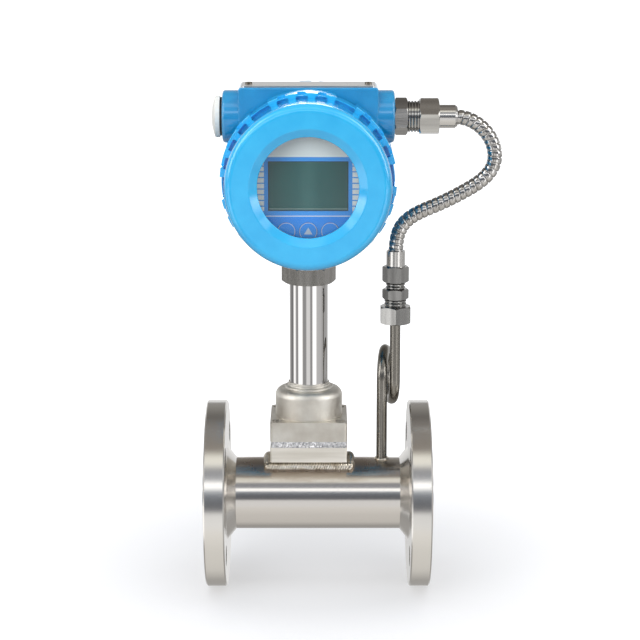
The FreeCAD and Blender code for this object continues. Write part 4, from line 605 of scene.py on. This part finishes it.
# Seals and gaskets: moulded rings of black nitrile rubber, slightly dusty, pressed in
# under the two covers, the window and the plug.
rubber, tree, shader = new_material(
    "black nitrile", (0.012, 0.012, 0.013, 1.0), roughness=0.55, metallic=0.0)
dust = place_node(tree, "ShaderNodeTexNoise", {
    "Vector": place_from(tree, HEAD_MIDDLE), "Scale": 700.0, "Detail": 3.0})
tree.links.new(ramp(tree, dust.outputs["Fac"], [(0.35, 0.010), (0.8, 0.035)]),
               shader.inputs["Base Color"])
dress(rubber, "front_cover_seal", "rear_cover_seal", "window_gasket", "plug_seal")


# Boards: green lacquered laminate whose tracks show through paler, held on pillars inside
# the head. The terminal block behind them is moulded in black plastic.
ALONG_Y = (math.radians(90), 0.0, 0.0)

laminate, tree, shader = new_material(
    "lacquered laminate", (0.01, 0.10, 0.035, 1.0), roughness=0.35, metallic=0.0)
tracks = place_node(tree, "ShaderNodeTexBrick", {
    "Vector": place_from(tree, HEAD_MIDDLE, ALONG_Y), "Scale": 160.0,
    "Color1": (0.008, 0.09, 0.03, 1.0), "Color2": (0.012, 0.13, 0.045, 1.0),
    "Mortar": (0.02, 0.16, 0.06, 1.0)})
tree.links.new(tracks.outputs["Color"], shader.inputs["Base Color"])
dress(laminate, "display_board", "main_board")

terminal_black, tree, shader = new_material(
    "moulded black", (0.02, 0.02, 0.022, 1.0), roughness=0.45, metallic=0.0)
moulding = place_node(tree, "ShaderNodeTexNoise", {
    "Vector": place_from(tree, HEAD_MIDDLE), "Scale": 1200.0})
tree.links.new(compute(tree, "MULTIPLY_ADD", moulding.outputs["Fac"], 0.2, 0.35),
               shader.inputs["Roughness"])
dress(terminal_black, "terminal_block")


# Front panel: a printed film on a round plate. Pale grey above, a blue frame round the
# display, a ladder of pale bars at each side, and a blue field with the keys below.
FRAME_HALF = 0.0367
FRAME_TOP_Z = 0.3094
FRAME_LOW_Z = 0.2609
RULE_LOW_Z = 0.2594
RULE_HIGH_Z = 0.2604
RULE_CORNER_SLOPE = 0.6
FIELD_HEIGHT = 0.026
BAR_PITCH = 0.0048
BAR_SHARE = 0.80
PANEL_GREY = (0.92, 0.98, 1.0, 1.0)
PANEL_BLUE = (0.040, 0.360, 0.980, 1.0)
FIELD_BLUE = (0.010, 0.290, 1.000)
FIELD_PALE = (0.030, 0.370, 1.000)
RULE_COLOUR = (0.62, 0.76, 0.95, 1.0)


def own_spot(tree):
    """The X, Y and Z of a place in the row frame."""
    where = place_node(tree, "ShaderNodeTexCoord").outputs["Object"]
    return place_node(tree, "ShaderNodeSeparateXYZ", {0: where}).outputs


def field_print(tree, height):
    """The blue field's colour, which gets paler towards its foot."""
    share = compute(tree, "DIVIDE", compute(tree, "SUBTRACT", RULE_LOW_Z, height), FIELD_HEIGHT)
    return ramp(tree, share, [(0.0, FIELD_BLUE), (1.0, FIELD_PALE)])


def within(tree, value, low, high):
    """A mask that is 1 where a value lies between two limits."""
    return compute(tree, "MULTIPLY", compute(tree, "GREATER_THAN", value, low),
                   compute(tree, "LESS_THAN", value, high))


panel_film, tree, shader = new_material("printed film", PANEL_BLUE, roughness=0.32, metallic=0.0)
spot = own_spot(tree)
from_middle = compute(tree, "ABSOLUTE", compute(tree, "SUBTRACT", spot[0], STEM_X))
printed = field_print(tree, spot[2])
is_top = compute(tree, "GREATER_THAN", spot[2], FRAME_TOP_Z)
is_side = compute(tree, "MULTIPLY", compute(tree, "GREATER_THAN", from_middle, FRAME_HALF),
                  within(tree, spot[2], RULE_LOW_Z, FRAME_TOP_Z))
is_frame = compute(tree, "MULTIPLY", compute(tree, "LESS_THAN", from_middle, FRAME_HALF),
                   within(tree, spot[2], FRAME_LOW_Z, FRAME_TOP_Z))
rung = compute(tree, "FRACT", compute(tree, "DIVIDE", spot[2], BAR_PITCH))
is_bar = compute(tree, "LESS_THAN", rung, BAR_SHARE)
rule_z = compute(tree, "ADD", spot[2], compute(tree, "MULTIPLY", RULE_CORNER_SLOPE, compute(
    tree, "MAXIMUM", compute(tree, "SUBTRACT", from_middle, FRAME_HALF), 0.0)))
is_rule = within(tree, compute(tree, "SUBTRACT", compute(tree, "MULTIPLY", 2.0, spot[2]), rule_z),
                 RULE_LOW_Z, RULE_HIGH_Z)
ladder = mix_colour(tree, is_bar, PANEL_BLUE, PANEL_GREY)
printed = mix_colour(tree, is_side, printed, ladder)
printed = mix_colour(tree, is_frame, printed, PANEL_BLUE)
printed = mix_colour(tree, is_top, printed, PANEL_GREY)
printed = mix_colour(tree, is_rule, printed, RULE_COLOUR)
tree.links.new(printed, shader.inputs["Base Color"])
dress(panel_film, "face_panel")


# Keys: three round caps in the same film, each with a pale ring near its edge; the
# middle one has a triangle that points up.
KEY_PITCH = 0.0183
KEY_Z = 0.2470
KEY_RING_OUTER = 0.0074
KEY_RING_INNER = 0.0069
TRIANGLE_BASE_Z = 0.2446
TRIANGLE_TIP_Z = 0.2503
TRIANGLE_SLOPE = 0.62
KEY_MARK = (0.62, 0.74, 0.92, 1.0)

key_film, tree, shader = new_material(
    "key film", (*FIELD_PALE, 1.0), roughness=0.35, metallic=0.0)
spot = own_spot(tree)
across = compute(tree, "SUBTRACT", spot[0], STEM_X)
own_across = compute(tree, "WRAP", across, KEY_PITCH / 2, -KEY_PITCH / 2)
own_up = compute(tree, "SUBTRACT", spot[2], KEY_Z)
key_radius = compute(tree, "SQRT", compute(
    tree, "ADD", compute(tree, "MULTIPLY", own_across, own_across),
    compute(tree, "MULTIPLY", own_up, own_up)))
is_ring = within(tree, key_radius, KEY_RING_INNER, KEY_RING_OUTER)
slant = compute(tree, "MULTIPLY", TRIANGLE_SLOPE, compute(
    tree, "SUBTRACT", TRIANGLE_TIP_Z, spot[2]))
is_triangle = compute(tree, "MULTIPLY", compute(tree, "GREATER_THAN", spot[2], TRIANGLE_BASE_Z),
                      compute(tree, "LESS_THAN", compute(tree, "ABSOLUTE", across), slant))
key_print = mix_colour(tree, compute(tree, "MAXIMUM", is_ring, is_triangle),
                       field_print(tree, spot[2]), KEY_MARK)
tree.links.new(key_print, shader.inputs["Base Color"])
dress(key_film, "key_left", "key_up", "key_right")


# Display: an unlit liquid crystal glass, grey green, with a soft lighter band down its
# middle that is a painted reflection, a pale line near its foot and a dark line where the
# glass meets its frame.
LCD_HALF_WIDTH = 0.0333
LCD_HALF_HEIGHT = 0.02075
LCD_Z = 0.2850
LCD_EDGE = 0.0005
LCD_LINE_LOW = 0.0012
LCD_LINE_HIGH = 0.0020
LCD_GREEN = (0.002, 0.084, 0.081)
LCD_PALE = (0.027, 0.136, 0.134)
LCD_LINE_COLOUR = (0.20, 0.30, 0.28, 1.0)
LCD_EDGE_COLOUR = (0.01, 0.015, 0.02, 1.0)

lcd_glass, tree, shader = new_material(
    "liquid crystal glass", (*LCD_GREEN, 1.0), roughness=0.22, metallic=0.0)
spot = own_spot(tree)
lcd_across = compute(tree, "ABSOLUTE", compute(tree, "SUBTRACT", spot[0], STEM_X))
lcd_up = compute(tree, "ABSOLUTE", compute(tree, "SUBTRACT", spot[2], LCD_Z))
# Painted reflection: a lighter band down the middle of the glass.
glow = ramp(tree, compute(tree, "DIVIDE", lcd_across, LCD_HALF_WIDTH), [
    (0.0, LCD_PALE), (0.10, (0.025, 0.130, 0.128)), (0.30, (0.009, 0.102, 0.100)),
    (1.0, LCD_GREEN)])
is_inside = compute(tree, "MULTIPLY",
                    compute(tree, "LESS_THAN", lcd_across, LCD_HALF_WIDTH - LCD_EDGE),
                    compute(tree, "LESS_THAN", lcd_up, LCD_HALF_HEIGHT - LCD_EDGE))
is_foot = within(tree, spot[2], LCD_Z - LCD_HALF_HEIGHT + LCD_LINE_LOW,
                 LCD_Z - LCD_HALF_HEIGHT + LCD_LINE_HIGH)
glow = mix_colour(tree, is_foot, glow, LCD_LINE_COLOUR)
tree.links.new(mix_colour(tree, is_inside, LCD_EDGE_COLOUR, glow),
               shader.inputs["Base Color"])
dress(lcd_glass, "lcd_module")


# Window: a thick disc of toughened glass behind the front cover's bevel. Shadow and diffuse
# rays pass straight through it, so that the lamps light what lies behind.
GLASS_TINT = (0.97, 0.985, 0.98, 1.0)

window_glass, tree, shader = new_material(
    "toughened glass", GLASS_TINT, roughness=0.0, metallic=0.0, IOR=1.45,
    Transmission_Weight=1.0)
ray = place_node(tree, "ShaderNodeLightPath")
clear = place_node(tree, "ShaderNodeBsdfTransparent", {"Color": GLASS_TINT})
lets_through = place_node(tree, "ShaderNodeMixShader", {
    0: compute(tree, "MAXIMUM", ray.outputs["Is Shadow Ray"], ray.outputs["Is Diffuse Ray"]),
    1: shader.outputs[0], 2: clear.outputs[0]})
tree.links.new(lets_through.outputs[0], tree.nodes["Material Output"].inputs["Surface"])
dress(window_glass, "cover_window")


# Nameplate: a thin stainless sheet left bare, brushed along its length, on two cross
# slot screws in a dark steel.
NAMEPLATE_MIDDLE = (STEM_X, 0.0, 0.363)

plate_steel = ground_steel(
    "brushed plate steel", NAMEPLATE_MIDDLE, scale=(70.0, 1500.0, 1500.0),
    dark=(0.66, 0.655, 0.64), light=(0.80, 0.79, 0.775), roughness=0.30, depth=0.1)
dress(plate_steel, "nameplate")

dark_steel = ground_steel(
    "dark screw steel", NAMEPLATE_MIDDLE, scale=(900.0, 900.0, 900.0),
    dark=(0.14, 0.125, 0.10), light=(0.30, 0.27, 0.23), roughness=0.36, depth=0.2)
dress(dark_steel, "nameplate_screws")


# Blanking plug: moulded off-white nylon, a little rough, screwed into the housing's left
# cable entry, which isn't used.
nylon, tree, shader = new_material(
    "off-white nylon", (0.88, 0.88, 0.84, 1.0), roughness=0.42, metallic=0.0,
    Subsurface_Weight=0.08)
shader.inputs["Subsurface Radius"].default_value = (0.002, 0.002, 0.002)
nylon_skin = use_effect(tree, cast_skin, Place=place_from(tree, HEAD_MIDDLE),
                        Grains_per_metre=700.0, Depth=0.12)
tree.links.new(ramp(tree, nylon_skin["Stain"], [
    (0.3, (0.84, 0.84, 0.79)), (0.7, (0.91, 0.91, 0.87))]), shader.inputs["Base Color"])
tree.links.new(nylon_skin["Normal"], shader.inputs["Normal"])
dress(nylon, "blanking_plug")


# Gland, its union nut and the sensor's fittings: bar stock turned and milled in
# stainless steel, satin on the flats with faint marks of the cutter.
GLAND_MIDDLE = (0.165, 0.0, 0.3352)
SENSOR_MIDDLE = (0.1675, 0.0, 0.18)
FITTING_DARK = (0.34, 0.335, 0.325)
FITTING_LIGHT = (0.58, 0.575, 0.56)
SENSOR_DARK = (0.22, 0.217, 0.210)
SENSOR_LIGHT = (0.40, 0.395, 0.382)
SLEEVE_COLOUR = (0.60, 0.585, 0.565, 1.0)
SLEEVE_ROUGHNESS = 0.17
SLEEVE_LINES_PER_METRE = 900.0

gland_steel = ground_steel(
    "milled gland steel", GLAND_MIDDLE, scale=(70.0, 900.0, 900.0), dark=FITTING_DARK,
    light=FITTING_LIGHT, roughness=0.17, depth=0.06)
dress(gland_steel, "gland_body", "gland_nut")

sensor_steel = ground_steel(
    "milled sensor steel", SENSOR_MIDDLE, scale=(900.0, 900.0, 70.0), dark=SENSOR_DARK,
    light=SENSOR_LIGHT, roughness=0.18, depth=0.06)
dress(sensor_steel, "pressure_sensor_body", "sensor_top_nut", "sensor_bottom_nut")

sleeve_steel, _, _ = turned_steel(
    "turned sleeve steel", (0.0, 0.0, GLAND_MIDDLE[2]), ALONG_X, SLEEVE_COLOUR, SLEEVE_ROUGHNESS,
    SLEEVE_LINES_PER_METRE, depth=0.06, spread=0.08)
dress(sleeve_steel, "upper_ferrule")
low_sleeve_steel, _, _ = turned_steel(
    "turned low sleeve steel", (SENSOR_MIDDLE[0], 0.0, 0.0), UPRIGHT, SLEEVE_COLOUR,
    SLEEVE_ROUGHNESS, SLEEVE_LINES_PER_METRE, depth=0.06, spread=0.08)
dress(low_sleeve_steel, "lower_ferrule")


# Flexible conduit: a stainless strip wound into an interlocked hose. It leaves the
# gland's sleeve level, hangs in one S and comes down into the sensor's sleeve.
HOSE_ROUTE = [
    (0.2100, 0.3352), (0.2240, 0.3352), (0.2385, 0.3282), (0.2485, 0.3165), (0.2526, 0.3030),
    (0.2505, 0.2905), (0.2410, 0.2795), (0.2255, 0.2700), (0.2060, 0.2600), (0.1840, 0.2510),
    (0.1725, 0.2415), (0.1675, 0.2280), (0.1675, 0.2140)]
HOSE_R = 0.0065
HOSE_EXIT = (0.2192, 0.0, 0.3352)
HOSE_STEP = 0.0003
HOSE_POINTS = 36
HOSE_AIM_SPAN = 4
WIND_PITCH = 0.0052
GROOVE_DEPTH = 0.0011
GROOVE_SHARE = 0.22
GROOVE_FLATNESS = 0.6
CROWN_FALL = 0.00014

hose_curve = bpy.data.curves.new("conduit_line", "CURVE")
hose_curve.dimensions = "3D"
hose_curve.resolution_u = 24
hose_spline = hose_curve.splines.new("NURBS")
hose_spline.points.add(len(HOSE_ROUTE) - 1)
for point, (x, z) in zip(hose_spline.points, HOSE_ROUTE):
    point.co = (x, 0.0, z, 1.0)
hose_spline.order_u = 3
hose_spline.use_endpoint_u = True
hose_guide = bpy.data.objects.new("conduit_line", hose_curve)
bpy.context.collection.objects.link(hose_guide)
bpy.context.view_layer.update()
hose_line = bpy.data.meshes.new_from_object(hose_guide)
hose_path = [v.co.copy() for v in hose_line.vertices]
bpy.data.objects.remove(hose_guide)

hose_spots = [hose_path[0]]
left_over = 0.0
for a, b in zip(hose_path, hose_path[1:]):
    run = (b - a).length
    mark = HOSE_STEP - left_over
    while mark <= run:
        hose_spots.append(a.lerp(b, mark / run))
        mark += HOSE_STEP
    left_over = run - (mark - HOSE_STEP)
hose_corners = []
across_hose = Vector((0.0, 1.0, 0.0))
for n, spot in enumerate(hose_spots):
    before = hose_spots[max(n - HOSE_AIM_SPAN, 0)]
    after = hose_spots[min(n + HOSE_AIM_SPAN, len(hose_spots) - 1)]
    upward = (after - before).normalized().cross(across_hose)
    for j in range(HOSE_POINTS):
        turn = 2 * math.pi * j / HOSE_POINTS
        phase = (n * HOSE_STEP / WIND_PITCH + j / HOSE_POINTS) % 1.0
        if phase < GROOVE_SHARE:
            hollow = math.sin(math.pi * phase / GROOVE_SHARE) ** GROOVE_FLATNESS
            reach = HOSE_R - GROOVE_DEPTH * hollow
        else:
            crown = (phase - GROOVE_SHARE) / (1 - GROOVE_SHARE)
            reach = HOSE_R - CROWN_FALL * (2 * crown - 1) ** 2
        hose_corners.append(spot + reach * (across_hose * math.cos(turn)
                                            + upward * math.sin(turn)))
hose_faces = ring_faces(len(hose_spots), HOSE_POINTS, False)
hose_faces.append(tuple(range(HOSE_POINTS)))
hose_faces.append(tuple(range(len(hose_corners) - 1, len(hose_corners) - HOSE_POINTS - 1, -1)))

hose_steel, tree, shader = new_material(
    "wound strip steel", (0.56, 0.55, 0.54, 1.0), roughness=0.13)
strip_tone = place_node(tree, "ShaderNodeTexNoise", {
    "Vector": place_from(tree, HOSE_EXIT), "Scale": 150.0, "Detail": 2.0}).outputs["Fac"]
tree.links.new(ramp(tree, strip_tone, [(0.35, (0.42, 0.405, 0.385)), (0.65, (0.56, 0.55, 0.54))]),
               shader.inputs["Base Color"])
conduit = mesh_piece("wound_conduit", hose_corners, hose_faces, hose_steel, "meter")
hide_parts("flex_conduit")


# Siphon: drawn stainless tube bent cold into one full turn and pickled, so it is duller
# and browner than the rest. A small fillet weld, too smooth for scales and so without
# their painted crease shade, holds its foot on the meter tube.
SIPHON_MIDDLE = (0.1562, 0.0, 0.10)

siphon_steel = ground_steel(
    "pickled siphon steel", SIPHON_MIDDLE, scale=(70.0, 70.0, 70.0), dark=(0.21, 0.196, 0.172),
    light=(0.27, 0.255, 0.23), roughness=0.27, depth=0.02, spread=0.08)
dress(siphon_steel, "siphon_tube")
dress(weld_metal, "siphon_weld")


# Studio: a pale sweep that keeps a soft shadow, with a glow that only the camera sees,
# weak near the meter as a painted shadow round it and turning the sweep white farther off;
# four softboxes, a fifth one behind that shows only in the front cover's enamel, and
# surroundings of pale panels and dark gaps that the metal mirrors.
FLOOR_Z = -0.0826
FLOOR_NEAR = -6
FLOOR_FAR = 9
FLOOR_SIDE = 6
UNDER_METER = (0.10, 0.05, FLOOR_Z)
STRIP_ELEVATION = 24.5
PANEL_GLARE = 2.1
NEAR_LIFT = 0.40
BOUNCE_CUT = 0.6
METAL_STRENGTH = 2.0
ROOM_STRENGTH = 0.70

floor_mesh = bpy.data.meshes.new("sweep")
floor_mesh.from_pydata(
    [(-FLOOR_SIDE, FLOOR_NEAR, FLOOR_Z), (FLOOR_SIDE, FLOOR_NEAR, FLOOR_Z),
     (FLOOR_SIDE, FLOOR_FAR, FLOOR_Z), (-FLOOR_SIDE, FLOOR_FAR, FLOOR_Z)],
    [], [(0, 1, 2, 3)])
floor = bpy.data.objects.new("sweep", floor_mesh)
bpy.context.collection.objects.link(floor)
floor.visible_glossy = False
sweep_paint, tree, shader = new_material(
    "sweep paint", (0.53, 0.535, 0.552, 1.0), roughness=1.0, metallic=0.0)
shader.inputs["Specular IOR Level"].default_value = 0.0
ray = place_node(tree, "ShaderNodeLightPath")
far_off = place_node(tree, "ShaderNodeVectorMath", {
    0: place_from(tree, UNDER_METER)}, operation="LENGTH").outputs["Value"]
# Painted shadow: the camera's glow is weaker near the meter, darkening the sweep round it.
lift = ramp(tree, far_off, [(0.12, NEAR_LIFT), (0.62, 1.0)])
to_camera = place_node(tree, "ShaderNodeEmission", {
    "Color": (1.0, 1.0, 1.0, 1.0),
    "Strength": compute(tree, "MULTIPLY", ray.outputs["Is Camera Ray"], lift)})
lifted = place_node(tree, "ShaderNodeAddShader", {0: shader.outputs[0], 1: to_camera.outputs[0]})
dark = place_node(tree, "ShaderNodeBsdfDiffuse", {"Color": (0.02, 0.02, 0.02, 1.0)})
muted = place_node(tree, "ShaderNodeMixShader", {
    0: compute(tree, "MULTIPLY", ray.outputs["Is Diffuse Ray"], BOUNCE_CUT),
    1: lifted.outputs[0], 2: dark.outputs[0]})
tree.links.new(muted.outputs[0], tree.nodes["Material Output"].inputs["Surface"])
floor_mesh.materials.append(sweep_paint)


def softbox(name, place, target, size, power):
    """A square lamp, turned towards a target, that the metal doesn't mirror."""
    lamp = bpy.data.lights.new(name, "AREA")
    lamp.shape = "SQUARE"
    lamp.size = size
    lamp.energy = power
    holder = bpy.data.objects.new(name, lamp)
    holder.location = place
    holder.rotation_euler = (Vector(target) - Vector(place)).to_track_quat("-Z", "Y").to_euler()
    holder.visible_glossy = False
    bpy.context.collection.objects.link(holder)
    return holder


softbox("overhead box", (0.1, -0.1, 1.6), target=(0.1, 0.0, 0.1), size=1.6, power=7.8)
softbox("front box", (-0.9, -1.6, 1.0), target=(0.1, 0.0, 0.15), size=1.2, power=10.0)
softbox("low left box", (-1.1, -1.3, 0.02), target=(0.1, 0.0, 0.28), size=0.8, power=8.3)
softbox("low right box", (1.3, -1.3, 0.02), target=(0.1, 0.0, 0.28), size=0.8, power=9.6)

# The front cover's enamel alone mirrors the rear box, as a pale crescent along its skirt.
rear_box = softbox("rear box", (0.1, 2.0, 0.72), target=(0.1, 0.0, 0.29), size=0.62, power=8.0)
rear_box.visible_glossy = True
rear_box.visible_camera = False
rear_box.visible_transmission = False
rear_lit = bpy.data.collections.new("lit by the rear box")
rear_lit.objects.link(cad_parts["front_cover"])
rear_box.light_linking.receiver_collection = rear_lit

world = bpy.data.worlds.new("studio surroundings")
bpy.context.scene.world = world
world.use_nodes = True
tree = world.node_tree
tree.nodes.clear()
toward = place_node(tree, "ShaderNodeSeparateXYZ", {
    0: place_node(tree, "ShaderNodeTexCoord").outputs["Generated"]}).outputs
elevation = compute(tree, "DIVIDE", compute(tree, "ARCSINE", toward[2]), math.radians(90))
share_up = compute(tree, "MULTIPLY_ADD", elevation, 0.5, 0.5)
bearing = compute(tree, "MULTIPLY_ADD", compute(
    tree, "ARCTAN2", toward[0], compute(tree, "MULTIPLY", toward[1], -1.0)),
    1 / (2 * math.pi), 0.5)


def at_degrees(stops):
    """Ramp stops from elevations in degrees."""
    return [(0.5 + degrees / 180, tone) for degrees, tone in stops]


def at_bearing(stops):
    """Ramp stops from bearings in degrees, 0 towards the front."""
    return [(0.5 + degrees / 360, tone) for degrees, tone in stops]


front = ramp(tree, share_up, at_degrees([
    (-89, (0.42, 0.41, 0.39)), (-60, (0.44, 0.43, 0.41)), (-16, (0.56, 0.55, 0.53)),
    (-11.5, (0.52, 0.51, 0.49)), (-8.5, (0.10, 0.10, 0.11)), (2, (0.085, 0.09, 0.10)),
    (12, (0.12, 0.13, 0.15)), (STRIP_ELEVATION - 5, (0.22, 0.25, 0.28)),
    (STRIP_ELEVATION - 3.5, (1.0, 1.0, 1.0)), (STRIP_ELEVATION + 3.5, (1.0, 1.0, 1.0)),
    (STRIP_ELEVATION + 6, (0.22, 0.23, 0.25)), (44, (0.175, 0.18, 0.195)),
    (51, (0.60, 0.59, 0.55)), (60, (0.57, 0.56, 0.51)), (69, (0.15, 0.135, 0.12)),
    (88, (0.165, 0.152, 0.138))]))
back = ramp(tree, share_up, at_degrees([
    (-89, (0.42, 0.41, 0.39)), (-60, (0.23, 0.225, 0.215)), (-25, (0.22, 0.215, 0.21)),
    (-5, (0.50, 0.50, 0.50)), (12, (0.46, 0.465, 0.47)), (17, (0.17, 0.165, 0.16)),
    (31, (0.17, 0.165, 0.155)), (57, (0.085, 0.08, 0.075)), (75, (0.15, 0.14, 0.13)),
    (88, (0.165, 0.152, 0.138))]))
sides = ramp(tree, bearing, at_bearing([
    (-150, 0.38), (-128, 0.16), (-108, 0.13), (-98, 0.85), (-90, 0.85), (-80, 0.22), (-68, 0.22),
    (-62, 1.0), (-42, 1.0), (-34, 0.22), (-18, 0.22), (-11, 0.53), (6, 0.53), (11, 0.22),
    (20, 0.22), (26, 1.0), (42, 1.0), (50, 0.38), (78, 0.36), (92, 0.27), (135, 0.27),
    (160, 0.45)]))
panels = ramp(tree, bearing, at_bearing([
    (-80, 0.0), (-76, 1.0), (-58, 1.0), (-54, 0.0), (54, 0.0), (58, 1.0), (76, 1.0), (80, 0.0)]))
panel_heights = ramp(tree, share_up, at_degrees([(-4, 0.0), (2, 1.0), (50, 1.0), (58, 0.0)]))
low_band = ramp(tree, share_up, at_degrees([(-34, 0.0), (-26, 1.0), (-9, 1.0), (-6, 0.0)]))
is_back = place_node(tree, "ShaderNodeMapRange", {
    "Value": toward[1], "From Min": -0.15, "From Max": 0.15}).outputs[0]
mirrored = mix_colour(tree, is_back, front, back)
mirrored = mix_colour(tree, low_band, mirrored, sides)
mirrored = mix_colour(tree, compute(tree, "MULTIPLY", panels, panel_heights), mirrored,
                      (PANEL_GLARE, PANEL_GLARE, PANEL_GLARE, 1.0))
ray = place_node(tree, "ShaderNodeLightPath")
for_metal = place_node(tree, "ShaderNodeBackground", {
    "Color": mirrored, "Strength": METAL_STRENGTH})
room_light = ramp(tree, share_up, at_degrees([
    (-60, (0.14, 0.14, 0.15)), (-10, (0.40, 0.41, 0.42)), (10, (0.97, 0.98, 1.0))]))
for_paint = place_node(tree, "ShaderNodeBackground", {
    "Color": room_light, "Strength": ROOM_STRENGTH})
for_camera = place_node(tree, "ShaderNodeBackground", {
    "Color": (1.0, 1.0, 1.0, 1.0), "Strength": 1.0})
lit = place_node(tree, "ShaderNodeMixShader", {
    0: ray.outputs["Is Glossy Ray"], 1: for_paint.outputs[0], 2: for_metal.outputs[0]})
seen = place_node(tree, "ShaderNodeMixShader", {
    0: compute(tree, "MAXIMUM", ray.outputs["Is Camera Ray"],
               ray.outputs["Is Transmission Ray"]),
    1: lit.outputs[0], 2: for_camera.outputs[0]})
place_node(tree, "ShaderNodeOutputWorld", {"Surface": seen.outputs[0]})
bpy.context.scene.view_settings.view_transform = "Standard"


# Camera: a long lens in front of the meter, a little above its head and looking down on
# it, placed by the outlines of the two flanges in the photograph.
LENS = 119.81
CAMERA_PLACE = (0.1018, -1.817, 0.555)
CAMERA_TILT = 77.64

camera_data = bpy.data.cameras.new("camera")
camera_data.sensor_width = 36.0
camera_data.lens = LENS
camera_data.clip_start = 0.05
camera = bpy.data.objects.new("camera", camera_data)
camera.location = CAMERA_PLACE
camera.rotation_euler = (math.radians(CAMERA_TILT), 0.0, 0.0)
bpy.context.collection.objects.link(camera)
bpy.context.scene.camera = camera
